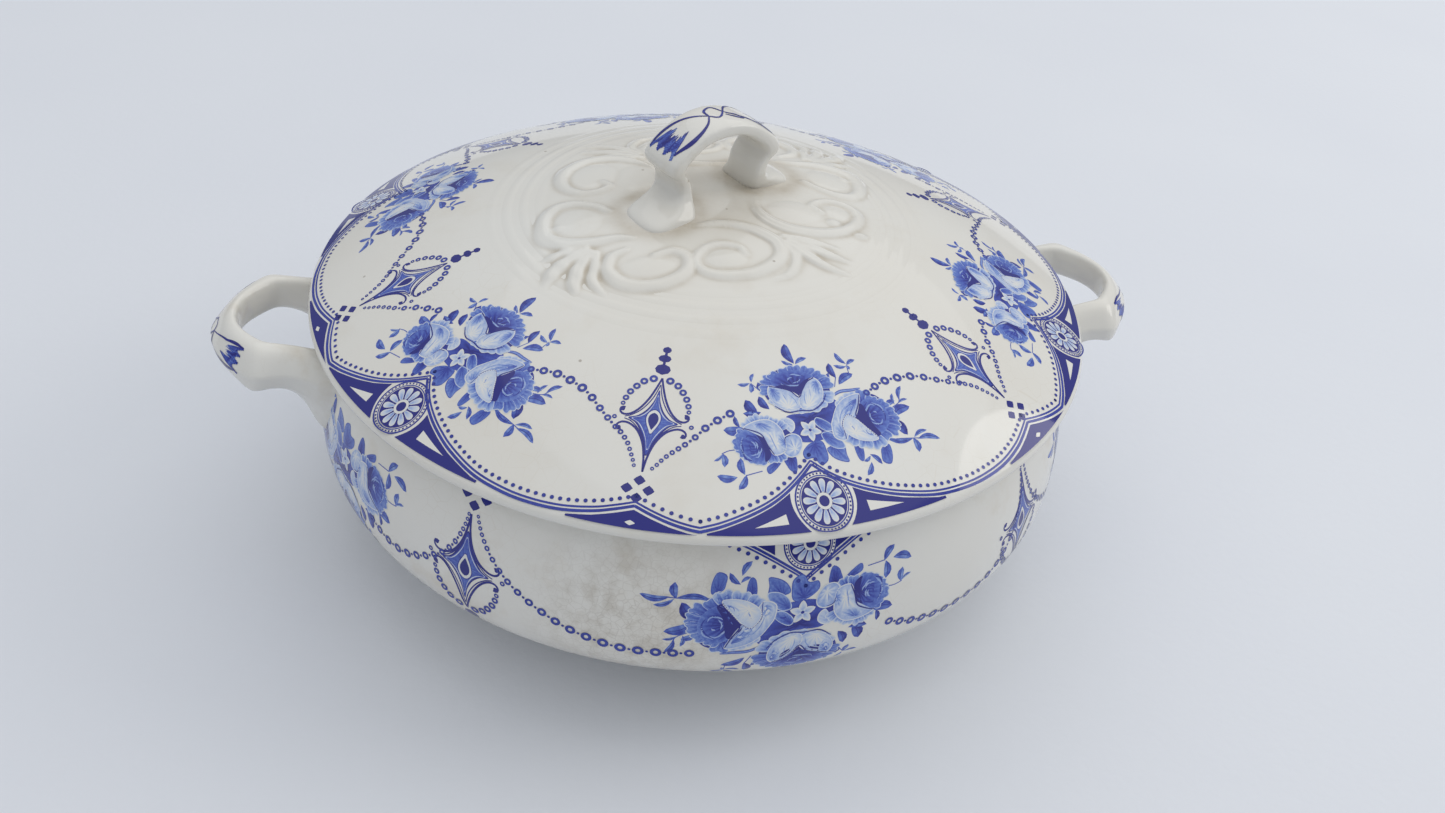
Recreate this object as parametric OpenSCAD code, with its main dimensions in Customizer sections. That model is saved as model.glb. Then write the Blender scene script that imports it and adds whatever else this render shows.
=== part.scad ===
// Round covered soup tureen in glazed earthenware: a footed bowl with two angular strap handles,
// and a low domed lid with an arched strap handle standing in a ring of raised scrollwork.
// Millimetres. +Z is up, +X is the line through the two side handles, and the origin is the
// middle of the foot's resting face.

/* [Bowl] */
// Radius of the bowl at its widest
belly_r = 122.5; // [105:0.5:148]
// Height of the widest line above the table
belly_z = 42; // [38:0.5:48]
// Height of the bowl's rim
rim_z = 79.8; // [74:0.2:92]
// Radius of the tight curve that turns the belly under
turn_r = 20; // [16:0.5:22]
// Radius of the long curve from the foot out to the belly
flare_r = 90; // [86:1:110]
// Radius of the upright curve from the belly in to the rim
shoulder_r = 75; // [64:1:110]
// Thickness of the bowl's wall
bowl_wall = 5; // [3.5:0.1:6.5]

/* [Foot ring] */
// Outer radius of the foot ring where it stands
foot_r = 58; // [45:0.5:70]
// Width of the foot ring where it stands
foot_w = 6; // [4:0.5:9]
// Slant of the foot ring's faces from top to bottom
foot_slant = 1.5; // [0:0.1:2.5]

/* [Lid] */
// How far the lid's edge stands out past the bowl's rim
lid_overhang = 9.72; // [4:0.01:14]
// Height of the lid's domed top above its underside
dome_rise = 34.1; // [28:0.1:42]
// Depth of the plain upright edge of the lid
edge_h = 3; // [2:0.1:4]
// Thickness of the lid's wall
lid_wall = 5; // [4:0.1:6.5]
// Rest gap between the bowl's rim and the lid
rest_gap = 0.2; // [0.1:0.05:0.3]
// Depth of the ring under the lid that drops into the bowl's mouth
flange_h = 8; // [5:0.5:14]
// Thickness of that ring
flange_w = 4; // [3:0.1:6]
// Gap between that ring and the bowl's mouth
flange_gap = 1.5; // [0.6:0.1:3]
// How far round the lid is turned from the line of the side handles, in degrees
lid_turn = 24; // [0:1:90]

/* [Lid handle] */
// Height of the arch above the top of the dome
arch_h = 25.5; // [22:0.1:30]
// Distance from the lid's axis to each shoulder of the arch
arch_reach = 20; // [18:0.5:24]
// Distance from the lid's axis to the end of each foot
foot_reach = 29; // [26:0.5:33]
// Thickness of the arch's strap
arch_thick = 5; // [4:0.1:6.5]
// Width of the strap over the arch
arch_w = 15; // [12:0.5:18]
// Width of the legs at their waist
waist_w = 13; // [10:0.5:15]
// Width of each spreading foot
foot_spread = 20; // [17:0.5:26]

/* [Scrollwork] */
// Height of the raised scrolls over the dome
relief_h = 1.6; // [1:0.1:2.5]
// Radius of the ring of scrolls
scroll_ring_r = 45; // [42:0.5:49]
// Width of a scroll's raised band
scroll_band = 3; // [2.4:0.1:3.6]
// Number of scroll groups round the handle
scroll_groups = 6; // [5:1:6]

/* [Side handles] */
// How far each handle stands out past the bowl's widest line
handle_out = 29; // [24:0.5:36]
// Half of the handle's width across its two elbows
elbow_half = 26.5; // [24:0.5:32]
// Distance from the outside of the handle back to its elbows
elbow_back = 15; // [12:0.5:20]
// Half of the width of the straight end bar
end_half = 10; // [8:0.5:14]
// Half of the finger opening's width where the arms meet the bowl
gap_half = 17; // [14:0.5:19]
// Thickness of the end bar
strap_thick = 8; // [6.5:0.1:9]
// Height of the end bar
strap_h = 10.5; // [9:0.5:13]
// Drop from the bowl's rim to the top of the end bar
end_drop = 2; // [1.5:0.5:8]
// How far the outer face leans out from its top edge to its bottom edge
face_lean = 4.5; // [2:0.5:6]
// Drop from the top of the end bar to the top of the arms at the bowl
arm_drop = 5; // [3:0.5:9]
// How far the elbows' points hang below the end bar
point_drop = 2.5; // [1:0.5:4]
// Drop from the bowl's rim to the lowest point of the arms' tails
tail_drop = 32; // [27:0.5:35]

/* [Hidden] */
$fn = 96;
big = 400;
arc_steps = 14;

// Bowl: centres of the three arcs that make its side, each touching the next without a corner.
turn_c = [belly_r - turn_r, belly_z];
flare_lean = 36.5;
flare_run = flare_r - turn_r;
flare_c = [
    turn_c[0] - flare_run * sin(flare_lean),
    turn_c[1] + flare_run * cos(flare_lean)
];
shoulder_c = [belly_r - shoulder_r, belly_z];
bowl_base_z = flare_c[1] - flare_r;
function upper_r(z, inset) = shoulder_c[0] + sqrt(pow(shoulder_r - inset, 2) - pow(z - belly_z, 2));
mouth_r = upper_r(rim_z, bowl_wall);
rim_r = upper_r(rim_z, 0);

// Lid: the domes are spheres on the axis, and everything on the lid is set out from them.
lid_z = rim_z + rest_gap;
lid_r = rim_r + lid_overhang;
dome_z = lid_z + dome_rise;
dome_sag = dome_rise - edge_h;
dome_r = (lid_r * lid_r + dome_sag * dome_sag) / (2 * dome_sag);
dome_c = dome_z - dome_r;
flange_r = mouth_r - flange_gap;

// Side handles.
handle_reach = belly_r + handle_out;
end_top = rim_z - end_drop;
end_low = end_top - strap_h;
arm_top = end_top - arm_drop;
elbow_x = handle_reach - elbow_back;
tail_z = rim_z - tail_drop;
arm_low = end_low - 2;
lip_z = end_low + 4;
root_x = belly_r - 30;
root_half = elbow_half + 4;
spread_x = belly_r - 5;
spread_half = elbow_half + 2;
neck_x = belly_r + 4;
neck_half = elbow_half - 2;
end_bow = 2;
inner_half = elbow_half - strap_thick - 2;
inner_x = handle_reach - strap_thick;
inner_turn_x = elbow_x - 3;

// Points along a round curve from one angle to another, angles from the horizontal.
function arc(centre, r, from, to) = [
    for (i = [0 : arc_steps])
        let (a = from + (to - from) * i / arc_steps)
            [centre[0] + r * cos(a), centre[1] + r * sin(a)]
];

// Half section of everything inside the bowl's outer face, or inside its inner face when inset.
module bowl_fill(inset, top) {
    rim_angle = asin((top - belly_z) / (shoulder_r - inset));
    turn_angle = flare_lean - 90;
    polygon(concat(
        [[0, top]],
        arc(shoulder_c, shoulder_r - inset, rim_angle, 0),
        arc(turn_c, turn_r - inset, turn_angle / arc_steps, turn_angle),
        arc(flare_c, flare_r - inset, turn_angle - flare_lean / arc_steps, -90),
        [[0, bowl_base_z + inset]]
    ));
}

module bowl() {
    color("ivory")
        rotate_extrude()
            difference() {
                bowl_fill(0, rim_z);
                bowl_fill(bowl_wall, rim_z + 1);
            }
}

// The ring's blank runs up into the bowl, which cuts it to sit under any part of the base.
module foot_ring() {
    lift = 2;
    color("ivory")
        rotate_extrude()
            difference() {
                polygon([
                    [foot_r - foot_w, 0],
                    [foot_r, 0],
                    [foot_r + lift * foot_slant, lift * bowl_base_z],
                    [foot_r - foot_w - lift * foot_slant, lift * bowl_base_z]
                ]);
                bowl_fill(0, rim_z);
            }
}

// Plan of a side handle, pointing along +X: an angular bracket round a finger opening.
module handle_plan() {
    difference() {
        polygon([
            [root_x, -root_half],
            [spread_x, -spread_half],
            [neck_x, -neck_half],
            [elbow_x, -elbow_half],
            [handle_reach - end_bow, -end_half],
            [handle_reach, 0],
            [handle_reach - end_bow, end_half],
            [elbow_x, elbow_half],
            [neck_x, neck_half],
            [spread_x, spread_half],
            [root_x, root_half]
        ]);
        polygon([
            [0, -gap_half],
            [inner_turn_x, -inner_half],
            [inner_x - end_bow, -end_half + end_bow],
            [inner_x, 0],
            [inner_x - end_bow, end_half - end_bow],
            [inner_turn_x, inner_half],
            [0, gap_half]
        ]);
    }
}

// Side view of a handle: arms rise from the bowl, tails sweep down its side, elbows hang a point.
module handle_side() {
    arm_rise_x = belly_r - 6;
    tail_x = belly_r - 3;
    tail_mid_x = belly_r - 1;
    point_x = elbow_x + 2;
    point_fore = elbow_x + 8;
    point_back = elbow_x - 5;
    polygon([
        [0, arm_top - 2],
        [arm_rise_x, arm_top],
        [elbow_x - 8, end_top - 1],
        [elbow_x - 2, end_top],
        [handle_reach - face_lean, end_top],
        [handle_reach, lip_z],
        [handle_reach, end_low],
        [point_fore, end_low],
        [point_x, end_low - point_drop],
        [point_back, arm_low + 1],
        [neck_x, arm_low - 4],
        [tail_mid_x, (arm_low + tail_z) / 2],
        [tail_x, tail_z],
        [0, tail_z]
    ]);
}

// End view of a handle: the outer faces lean out from a narrow top edge.
module handle_end() {
    wide = elbow_half + 5;
    polygon([
        [-wide, tail_z],
        [-wide, lip_z - face_lean],
        [-elbow_half, lip_z],
        [-elbow_half + face_lean, end_top],
        [elbow_half - face_lean, end_top],
        [elbow_half, lip_z],
        [wide, lip_z - face_lean],
        [wide, tail_z]
    ]);
}

module side_handle() {
    color("ivory")
        difference() {
            intersection() {
                translate([0, 0, tail_z - 1])
                    linear_extrude(rim_z - tail_z)
                        handle_plan();
                translate([0, big / 2, 0])
                    rotate([90, 0, 0])
                        linear_extrude(big)
                            handle_side();
                rotate([90, 0, 90])
                    linear_extrude(handle_reach + 1)
                        handle_end();
            }
            rotate_extrude()
                bowl_fill(0, rim_z + 1);
        }
}

module handle_right() {
    side_handle();
}

module handle_left() {
    mirror([1, 0, 0])
        side_handle();
}

// Half section of the lid's outer shape, down to its flat underside.
module lid_section() {
    intersection() {
        translate([0, dome_c]) circle(r = dome_r, $fn = 256);
        translate([0, lid_z]) square([lid_r, big]);
    }
}

module lid() {
    inner_r = flange_r - flange_w;
    color("ivory")
        rotate_extrude() {
            difference() {
                lid_section();
                intersection() {
                    translate([0, dome_c]) circle(r = dome_r - lid_wall, $fn = 256);
                    translate([0, lid_z - 1]) square([inner_r, big]);
                }
            }
            translate([inner_r, lid_z - flange_h])
                square([flange_w, flange_h]);
        }
}

// Everything under the lid's domed top, for seating what stands on it.
module dome_ball(extra) {
    translate([0, 0, dome_c])
        sphere(r = dome_r + extra, $fn = 256);
}

// Side view of the arched strap, from toe to toe through both shoulders.
module arch_side() {
    top = dome_z + arch_h;
    shoulder_z = dome_z + arch_h / 2 + 0.5;
    shoulder_low = shoulder_z - 1;
    shoulder_high = shoulder_z + 3;
    waist = arch_reach - 3.5;
    waist_z = dome_z + 7;
    ankle = waist + 3;
    ankle_z = dome_z + 2;
    toe_z = dome_z - 1.5;
    crown_half = 10;
    crown_z = top - 2.5;
    under_half = crown_half - 1;
    difference() {
        polygon([
            [-foot_reach, dome_c],
            [-foot_reach, toe_z],
            [-ankle, ankle_z],
            [-waist, waist_z],
            [-arch_reach, shoulder_low],
            [-arch_reach, shoulder_high],
            [-crown_half, crown_z],
            [0, top],
            [crown_half, crown_z],
            [arch_reach, shoulder_high],
            [arch_reach, shoulder_low],
            [waist, waist_z],
            [ankle, ankle_z],
            [foot_reach, toe_z],
            [foot_reach, dome_c]
        ]);
        polygon([
            [-waist + arch_thick, dome_c - 1],
            [-waist + arch_thick, waist_z],
            [-arch_reach + arch_thick, shoulder_z],
            [-under_half, crown_z - arch_thick],
            [0, top - arch_thick],
            [under_half, crown_z - arch_thick],
            [arch_reach - arch_thick, shoulder_z],
            [waist - arch_thick, waist_z],
            [waist - arch_thick, dome_c - 1]
        ]);
    }
}

// Front view of the strap: wide over the arch, waisted in the legs, spreading at the feet.
module arch_front() {
    over = dome_z + arch_h + 1;
    under = dome_z - 6;
    toe_z = dome_z - 1.5;
    waist_low = dome_z + 4;
    waist_high = dome_z + 9;
    wide_z = dome_z + 13;
    polygon([
        [-foot_spread / 2, under],
        [-foot_spread / 2, toe_z],
        [-waist_w / 2, waist_low],
        [-waist_w / 2, waist_high],
        [-arch_w / 2, wide_z],
        [-arch_w / 2, over],
        [arch_w / 2, over],
        [arch_w / 2, wide_z],
        [waist_w / 2, waist_high],
        [waist_w / 2, waist_low],
        [foot_spread / 2, toe_z],
        [foot_spread / 2, under]
    ]);
}

module lid_handle() {
    color("ivory")
        rotate([0, 0, lid_turn])
            difference() {
                intersection() {
                    translate([0, foot_spread, 0])
                        rotate([90, 0, 0])
                            linear_extrude(2 * foot_spread)
                                arch_side();
                    translate([-big / 2, 0, 0])
                        rotate([90, 0, 90])
                            linear_extrude(big)
                                arch_front();
                }
                dome_ball(0);
            }
}

// Flat outline of one scroll: part of a ring, closed by a round eye at its inner end.
module scroll(r, band, open_from, open_to) {
    difference() {
        circle(r = r);
        circle(r = r - band);
        polygon([
            [0, 0],
            [2 * r * cos(open_from), 2 * r * sin(open_from)],
            [2 * r * cos((open_from + open_to) / 2), 2 * r * sin((open_from + open_to) / 2)],
            [2 * r * cos(open_to), 2 * r * sin(open_to)]
        ]);
    }
    translate([(r - band) * cos(open_to), (r - band) * sin(open_to)])
        circle(r = band * 0.9);
}

// Outline of one group of scrollwork: a large scroll, a small one turned against it, and a leaf.
module scroll_group() {
    translate([scroll_ring_r, 0])
        scroll(12, scroll_band, 150, 215);
    translate([scroll_ring_r + 4, 15])
        mirror([0, 1])
            scroll(7, scroll_band * 0.8, 120, 190);
    for (lobe = [0 : 3])
        translate([scroll_ring_r - 3 + 4 * lobe, -13 - lobe])
            circle(r = 4.2 - 0.6 * lobe);
}

module lid_scrollwork() {
    color("snow")
        rotate([0, 0, lid_turn])
            difference() {
                intersection() {
                    translate([0, 0, lid_z])
                        linear_extrude(dome_rise + relief_h)
                            for (i = [0 : scroll_groups - 1])
                                rotate(360 / scroll_groups * (i + 0.5))
                                    scroll_group();
                    dome_ball(relief_h);
                }
                dome_ball(0);
            }
}

bowl();
foot_ring();
handle_left();
handle_right();
lid();
lid_handle();
lid_scrollwork();
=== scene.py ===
import math

import bmesh
import bpy
import numpy as np
from mathutils import Matrix, Vector
from mathutils.bvhtree import BVHTree


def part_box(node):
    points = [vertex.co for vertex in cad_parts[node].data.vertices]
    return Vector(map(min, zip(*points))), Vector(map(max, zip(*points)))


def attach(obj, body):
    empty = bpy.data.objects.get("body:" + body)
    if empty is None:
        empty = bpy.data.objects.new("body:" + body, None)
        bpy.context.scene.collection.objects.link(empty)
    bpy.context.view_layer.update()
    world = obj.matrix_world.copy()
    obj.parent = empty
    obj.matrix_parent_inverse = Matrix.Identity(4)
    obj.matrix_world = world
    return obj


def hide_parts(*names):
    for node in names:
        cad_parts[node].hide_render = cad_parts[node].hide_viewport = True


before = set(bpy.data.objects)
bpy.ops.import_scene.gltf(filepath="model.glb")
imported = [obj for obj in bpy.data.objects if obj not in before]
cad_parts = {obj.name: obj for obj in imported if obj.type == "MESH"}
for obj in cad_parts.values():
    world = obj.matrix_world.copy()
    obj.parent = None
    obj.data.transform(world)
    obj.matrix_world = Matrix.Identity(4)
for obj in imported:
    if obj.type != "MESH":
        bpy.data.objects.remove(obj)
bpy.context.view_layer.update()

MM = 0.001
rim_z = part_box("bowl")[1].z / MM
lid_low, lid_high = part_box("lid")
lid_r = lid_high.x / MM
dome_z = lid_high.z / MM
flange_low = lid_low.z / MM
arch_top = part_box("lid_handle")[1].z / MM
handle_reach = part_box("handle_right")[1].x / MM

# ---------------------------------------------------------------- sizes of the pottery, in mm
belly_r, belly_z = 122.5, 42.0
turn_r, flare_r, shoulder_r, flare_lean = 20.0, 90.0, 75.0, math.radians(36.5)
wall = 5.0
foot_r, foot_w, foot_slant = 58.0, 6.0, 1.5
lid_z = rim_z + 0.2
edge_h, flange_r, flange_w = 3.0, 104.9, 4.0
lid_turn = math.radians(24)
dome_sag = dome_z - lid_z - edge_h
dome_r = (lid_r ** 2 + dome_sag ** 2) / (2 * dome_sag)
dome_c = dome_z - dome_r
turn_c = np.array([belly_r - turn_r, belly_z])
flare_c = turn_c + (flare_r - turn_r) * np.array([-math.sin(flare_lean), math.cos(flare_lean)])
shoulder_c = np.array([belly_r - shoulder_r, belly_z])
base_z = flare_c[1] - flare_r


# ---------------------------------------------------------------- glazes and inks
class Value:
    """One output in a material; sums and products on it add Math nodes."""

    def __init__(self, finish, socket):
        self.finish, self.socket = finish, socket

    def maths(self, operation, first, second):
        return self.finish.add("Math", {0: first, 1: second}, operation=operation)

    def __add__(self, other):
        return self.maths("ADD", self, other)

    def __radd__(self, other):
        return self.maths("ADD", other, self)

    def __sub__(self, other):
        return self.maths("SUBTRACT", self, other)

    def __rsub__(self, other):
        return self.maths("SUBTRACT", other, self)

    def __mul__(self, other):
        return self.maths("MULTIPLY", self, other)

    def __rmul__(self, other):
        return self.maths("MULTIPLY", other, self)


class Finish:
    """A surface finish built as a node tree."""

    def __init__(self, name):
        self.material = bpy.data.materials.new(name)
        self.material.use_nodes = True
        self.tree = self.material.node_tree
        self.tree.nodes.clear()
        self.place = self.add("TexCoord", output="Object")

    def add(self, kind, inputs=None, output=0, stops=None, **settings):
        node = self.tree.nodes.new("ShaderNode" + kind)
        for key, value in settings.items():
            setattr(node, key, value)
        if stops:
            ramp = node.color_ramp.elements
            while len(ramp) < len(stops):
                ramp.new(0.5)
            for element, (position, colour) in zip(ramp, stops):
                element.position = position
                element.color = (*colour, 1) if len(colour) == 3 else colour
        for key, value in (inputs or {}).items():
            if isinstance(value, Value):
                self.tree.links.new(value.socket, node.inputs[key])
            else:
                socket = node.inputs[key]
                socket.default_value = (*value, 1) if socket.type == "RGBA" else value
        return Value(self, node.outputs[output]) if node.outputs else None

    def noise(self, scale, detail=2.0, roughness=0.5, stretch=None):
        place = self.place
        if stretch:
            place = self.add("Mapping", {"Vector": place, "Scale": stretch})
        return self.add(
            "TexNoise", {"Vector": place, "Scale": scale, "Detail": detail, "Roughness": roughness},
        )

    def cells(self, scale, **settings):
        return self.add("TexVoronoi", {"Vector": self.place, "Scale": scale}, **settings)

    def band(self, value, low, high, to_low=0.0, to_high=1.0):
        return self.add("MapRange", {0: value, 1: low, 2: high, 3: to_low, 4: to_high})

    def blend(self, factor, first, second, how="MIX"):
        return self.add("Mix", {0: factor, 6: first, 7: second}, output=2, data_type="RGBA", blend_type=how)

    def close(self, colour, roughness, bump_height, bump_depth, coat=0.9):
        """Ends the material; the coat alone gives the glaze its shine."""
        bumped = self.add("Bump", {"Height": bump_height, "Strength": 1.0, "Distance": bump_depth})
        shader = self.add("BsdfPrincipled", {
            "Base Color": colour,
            "Roughness": roughness,
            "Normal": bumped,
            "Specular IOR Level": 0.0,
            "Coat Weight": coat,
            "Coat Roughness": 0.06,
            "Coat IOR": 1.5,
        })
        self.add("OutputMaterial", {"Surface": shader})
        return self.material


WARM_WHITE = (0.735, 0.705, 0.640)
COOL_WHITE = (0.775, 0.765, 0.725)
TEA_STAIN = (0.50, 0.40, 0.25)
CLAY_SPECK = (0.20, 0.15, 0.10)


def glaze_white(finish, stain=0.25):
    """The glaze's own colour: warm white, cloudy, with faint tea stains, crazing and specks."""
    cloudy = finish.band(finish.noise(14, 3), 0.3, 0.7)
    colour = finish.blend(cloudy, WARM_WHITE, COOL_WHITE)
    patches = finish.band(finish.noise(38, 5, 0.62), 0.56, 0.80) * stain
    colour = finish.blend(patches, colour, TEA_STAIN)
    craze = finish.cells(210.0, feature="DISTANCE_TO_EDGE")
    lines = finish.band(craze, 0.0, 0.022, 1.0, 0.0) * finish.band(finish.noise(22, 2), 0.5, 0.7, 0.0, 0.16)
    colour = finish.blend(lines, colour, TEA_STAIN)
    speck = finish.cells(95.0, output="Distance")
    rare = finish.band(speck, 0.035, 0.055, 0.55, 0.0) * finish.band(finish.noise(30, 1), 0.56, 0.6)
    return finish.blend(rare, colour, CLAY_SPECK)


def glaze_surface(finish):
    """Height of the glaze's soft waves and the fine orange peel, as one value."""
    waves = finish.noise(26, 1.5, 0.4)
    peel = finish.noise(190, 2, 0.5)
    return waves + peel * 0.055


def glazed_ware(name, stain=0.25, worn=None):
    """Glazed pottery; worn is the middle of a crazed, dirty patch."""
    finish = Finish(name)
    colour = glaze_white(finish, stain)
    if worn:
        away = finish.add("VectorMath", {0: finish.place, 1: worn}, output="Value", operation="DISTANCE")
        patch = finish.band(away, 0.010, 0.036, 1.0, 0.0)
        grime = finish.band(finish.noise(130, 6, 0.7), 0.44, 0.66, 0.0, 0.50) * patch
        colour = finish.blend(grime, colour, (0.36, 0.30, 0.22))
        cracks = finish.cells(480.0, feature="DISTANCE_TO_EDGE")
        colour = finish.blend(finish.band(cracks, 0.0, 0.06, 0.24, 0.0) * patch, colour, (0.25, 0.20, 0.14))
    roughness = finish.band(finish.noise(60, 3), 0.3, 0.7, 0.20, 0.32)
    return finish.close(colour, roughness, glaze_surface(finish), 0.00035)


def relief_ware(name):
    """White glaze, grey-brown in the hollows of the raised work and under the handle: partly dirt, partly
    painted shade.
    """
    finish = Finish(name)
    colour = glaze_white(finish, 0.2)
    # Painted shade with dirt: this attribute darkens the glaze grey-brown where the relief dips and under the
    # handle.
    hollow_dirt_and_shade = finish.add("Attribute", output="Fac", attribute_name="hollow_dirt_and_shade")
    dirt_and_shade = finish.band(finish.noise(70, 4, 0.6), 0.3, 0.75, 0.25, 1.0) * hollow_dirt_and_shade
    colour = finish.blend(dirt_and_shade, colour, (0.46, 0.40, 0.31))
    roughness = finish.band(finish.noise(60, 3), 0.3, 0.7, 0.20, 0.34)
    return finish.close(colour, roughness, glaze_surface(finish), 0.00030)


# Ink from bare glaze to the deepest blue.
INK_STOPS = [
    (0.00, (0.750, 0.735, 0.690)),
    (0.12, (0.560, 0.625, 0.740)),
    (0.30, (0.260, 0.365, 0.665)),
    (0.50, (0.095, 0.165, 0.520)),
    (0.72, (0.036, 0.062, 0.375)),
    (0.95, (0.013, 0.015, 0.200)),
]


def printed_ink(name, stipple=0.30, streak=0.0):
    """Cobalt print under the glaze: the ink attribute runs from bare glaze to deepest blue."""
    finish = Finish(name)
    ink = finish.add("Attribute", output="Fac", attribute_name="ink")
    dots = finish.noise(1500, 2, 0.6)
    cloud = finish.noise(110, 3, 0.55)
    middle = ink * (1 - ink) * 4
    mark = (dots - 0.5) * stipple * middle + (cloud - 0.5) * 0.22 * (middle + 0.35 * ink)
    if streak:
        drag = finish.noise(160, 3, 0.6, stretch=(1.0, 4.5, 1.0))
        mark = mark + (drag - 0.5) * streak * (middle + 0.4 * ink)
    tone = finish.add("ValToRGB", {"Fac": ink + mark}, stops=INK_STOPS)
    roughness = finish.band(cloud, 0.3, 0.7, 0.20, 0.32)
    return finish.close(tone, roughness, glaze_surface(finish), 0.00030)


def bare_clay(name):
    finish = Finish(name)
    grain = finish.noise(420, 5, 0.65)
    wear = finish.noise(60, 4, 0.6)
    colour = finish.blend(finish.band(wear, 0.35, 0.7), (0.60, 0.52, 0.40), (0.42, 0.33, 0.23))
    colour = finish.blend(finish.band(grain, 0.6, 0.8, 0.0, 0.5), colour, (0.25, 0.19, 0.13))
    return finish.close(colour, finish.band(grain, 0.3, 0.7, 0.65, 0.85), grain, 0.0002, coat=0.0)


lid_glaze = glazed_ware("lid glaze", 0.16)
bowl_glaze = glazed_ware("bowl glaze", 0.42, worn=(-0.037, -0.112, 0.048))
handle_glaze = glazed_ware("handle glaze", 0.50)
relief_glaze = relief_ware("relief glaze")
print_ink = printed_ink("cobalt print")
bead_ink = printed_ink("cobalt beads", 0.15)
brush_ink = printed_ink("cobalt brushwork", 0.15, 0.9)
foot_clay = bare_clay("bare foot clay")


# ---------------------------------------------------------------- meshes
def put_in_scene(name, data):
    obj = bpy.data.objects.new(name, data)
    bpy.context.scene.collection.objects.link(obj)
    return obj


def make_piece(name, points, faces, materials, normals=None, attributes=None, corner_map=None, which=None):
    """A finished piece from points in mm, with its place in the mesh."""
    mesh = bpy.data.meshes.new(name)
    mesh.from_pydata((np.asarray(points) * MM).tolist(), [], [list(map(int, f)) for f in faces])
    for material in materials if isinstance(materials, (list, tuple)) else [materials]:
        mesh.materials.append(material)
    mesh.polygons.foreach_set("use_smooth", [True] * len(mesh.polygons))
    if which is not None:
        mesh.polygons.foreach_set("material_index", which)
    for key, values in (attributes or {}).items():
        field = mesh.attributes.new(key, "FLOAT", "POINT")
        field.data.foreach_set("value", np.asarray(values, dtype=np.float32))
    if corner_map is not None:
        bake_map = mesh.uv_layers.new(name="OFBake")
        bake_map.data.foreach_set("uv", np.asarray(corner_map, dtype=np.float32).ravel())
    mesh.validate()
    if normals is not None:
        mesh.normals_split_custom_set_from_vertices(np.asarray(normals).tolist())
    return put_in_scene(name, mesh)


def revolve(profile, segments):
    """Turns a half section, running with the clay on its left, about the axis. Ends on the axis close."""
    profile = np.asarray(profile, dtype=float)
    length = np.concatenate([[0], np.cumsum(np.hypot(*np.diff(profile, axis=0).T))])
    along = length / length[-1]
    angles = np.arange(segments) / segments * 2 * math.pi
    points, first = [], []
    for r, z in profile:
        first.append(len(points))
        if r < 1e-6:
            points.append((0, 0, z))
        else:
            points.extend(zip(r * np.cos(angles), r * np.sin(angles), [z] * segments))
    faces, corners = [], []
    for k in range(len(profile) - 1):
        a, b = first[k], first[k + 1]
        lone_a, lone_b = profile[k][0] < 1e-6, profile[k + 1][0] < 1e-6
        for i in range(segments):
            j = (i + 1) % segments
            u0, u1, v0, v1 = i / segments, (i + 1) / segments, along[k], along[k + 1]
            if lone_a:
                faces.append((a, b + i, b + j))
                corners += [((u0 + u1) / 2, v0), (u0, v1), (u1, v1)]
            elif lone_b:
                faces.append((a + i, b, a + j))
                corners += [(u0, v0), ((u0 + u1) / 2, v1), (u1, v0)]
            else:
                faces.append((a + i, b + i, b + j, a + j))
                corners += [(u0, v0), (u0, v1), (u1, v1), (u1, v0)]
    return points, faces, corners


def arc(centre, r, start, end, steps):
    """Points on a round curve from one angle to another, angles from the horizontal."""
    a = np.linspace(start, end, steps + 1)
    return np.column_stack([centre[0] + r * np.cos(a), centre[1] + r * np.sin(a)])


def bowl_side(inset, top, fine=1.0):
    """The bowl's half section from its lip down to the middle of its base, set in by a wall."""
    rim_angle = math.asin((top - belly_z) / (shoulder_r - inset))
    turn_angle = flare_lean - math.pi / 2
    flat = base_z + inset
    return np.vstack([
        arc(shoulder_c, shoulder_r - inset, rim_angle, 0, int(26 * fine)),
        arc(turn_c, turn_r - inset, 0, turn_angle, int(16 * fine))[1:],
        arc(flare_c, flare_r - inset, turn_angle, -math.pi / 2, int(26 * fine))[1:],
        [[flare_c[0] * f, flat] for f in (0.75, 0.5, 0.25, 0.05, 0.0)],
    ])


TURNED_SIDES, FOOT_SIDES = 320, 256

# Bowl, with a rounded lip.
lip = 1.6
outside = bowl_side(0, rim_z - lip)
inside = bowl_side(wall, rim_z - lip)
lip_out, lip_in = outside[0], inside[0]
over_lip = [
    (lip_in[0] + 0.35 * lip, rim_z - 0.35 * lip),
    (lip_in[0] + lip, rim_z - 0.06),
    ((lip_in[0] + lip_out[0]) / 2, rim_z),
    (lip_out[0] - lip, rim_z - 0.06),
    (lip_out[0] - 0.35 * lip, rim_z - 0.35 * lip),
]
bowl_profile = np.vstack([outside[::-1], over_lip[::-1], inside])
points, faces, corners = revolve(bowl_profile, TURNED_SIDES)
bowl_shell = make_piece("bowl_shell", points, faces, bowl_glaze, corner_map=corners)
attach(bowl_shell, "bowl_body")
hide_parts("bowl")

# Foot ring, glazed on its sides and bare where it stands.
seat = base_z + 0.4
foot_profile = [
    (foot_r - foot_w - foot_slant, seat),
    (foot_r - foot_w - foot_slant * 0.5, base_z * 0.5),
    (foot_r - foot_w, 1.4),
    (foot_r - foot_w + 0.5, 0.5),
    (foot_r - foot_w + 1.5, 0.0),
    (foot_r - 1.5, 0.0),
    (foot_r - 0.5, 0.5),
    (foot_r, 1.4),
    (foot_r + foot_slant * 0.5, base_z * 0.5),
    (foot_r + foot_slant, seat),
    (foot_r, seat + 0.5),
    (foot_r - foot_w, seat + 0.5),
    (foot_r - foot_w - foot_slant, seat),
]
points, faces, corners = revolve(foot_profile, FOOT_SIDES)
clay = [1 if 3 <= k < 6 else 0 for k in range(len(foot_profile) - 1) for _ in range(FOOT_SIDES)]
foot_rim = make_piece("foot_rim", points, faces, [bowl_glaze, foot_clay], corner_map=corners, which=clay)
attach(foot_rim, "bowl_body")
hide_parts("foot_ring")


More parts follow.
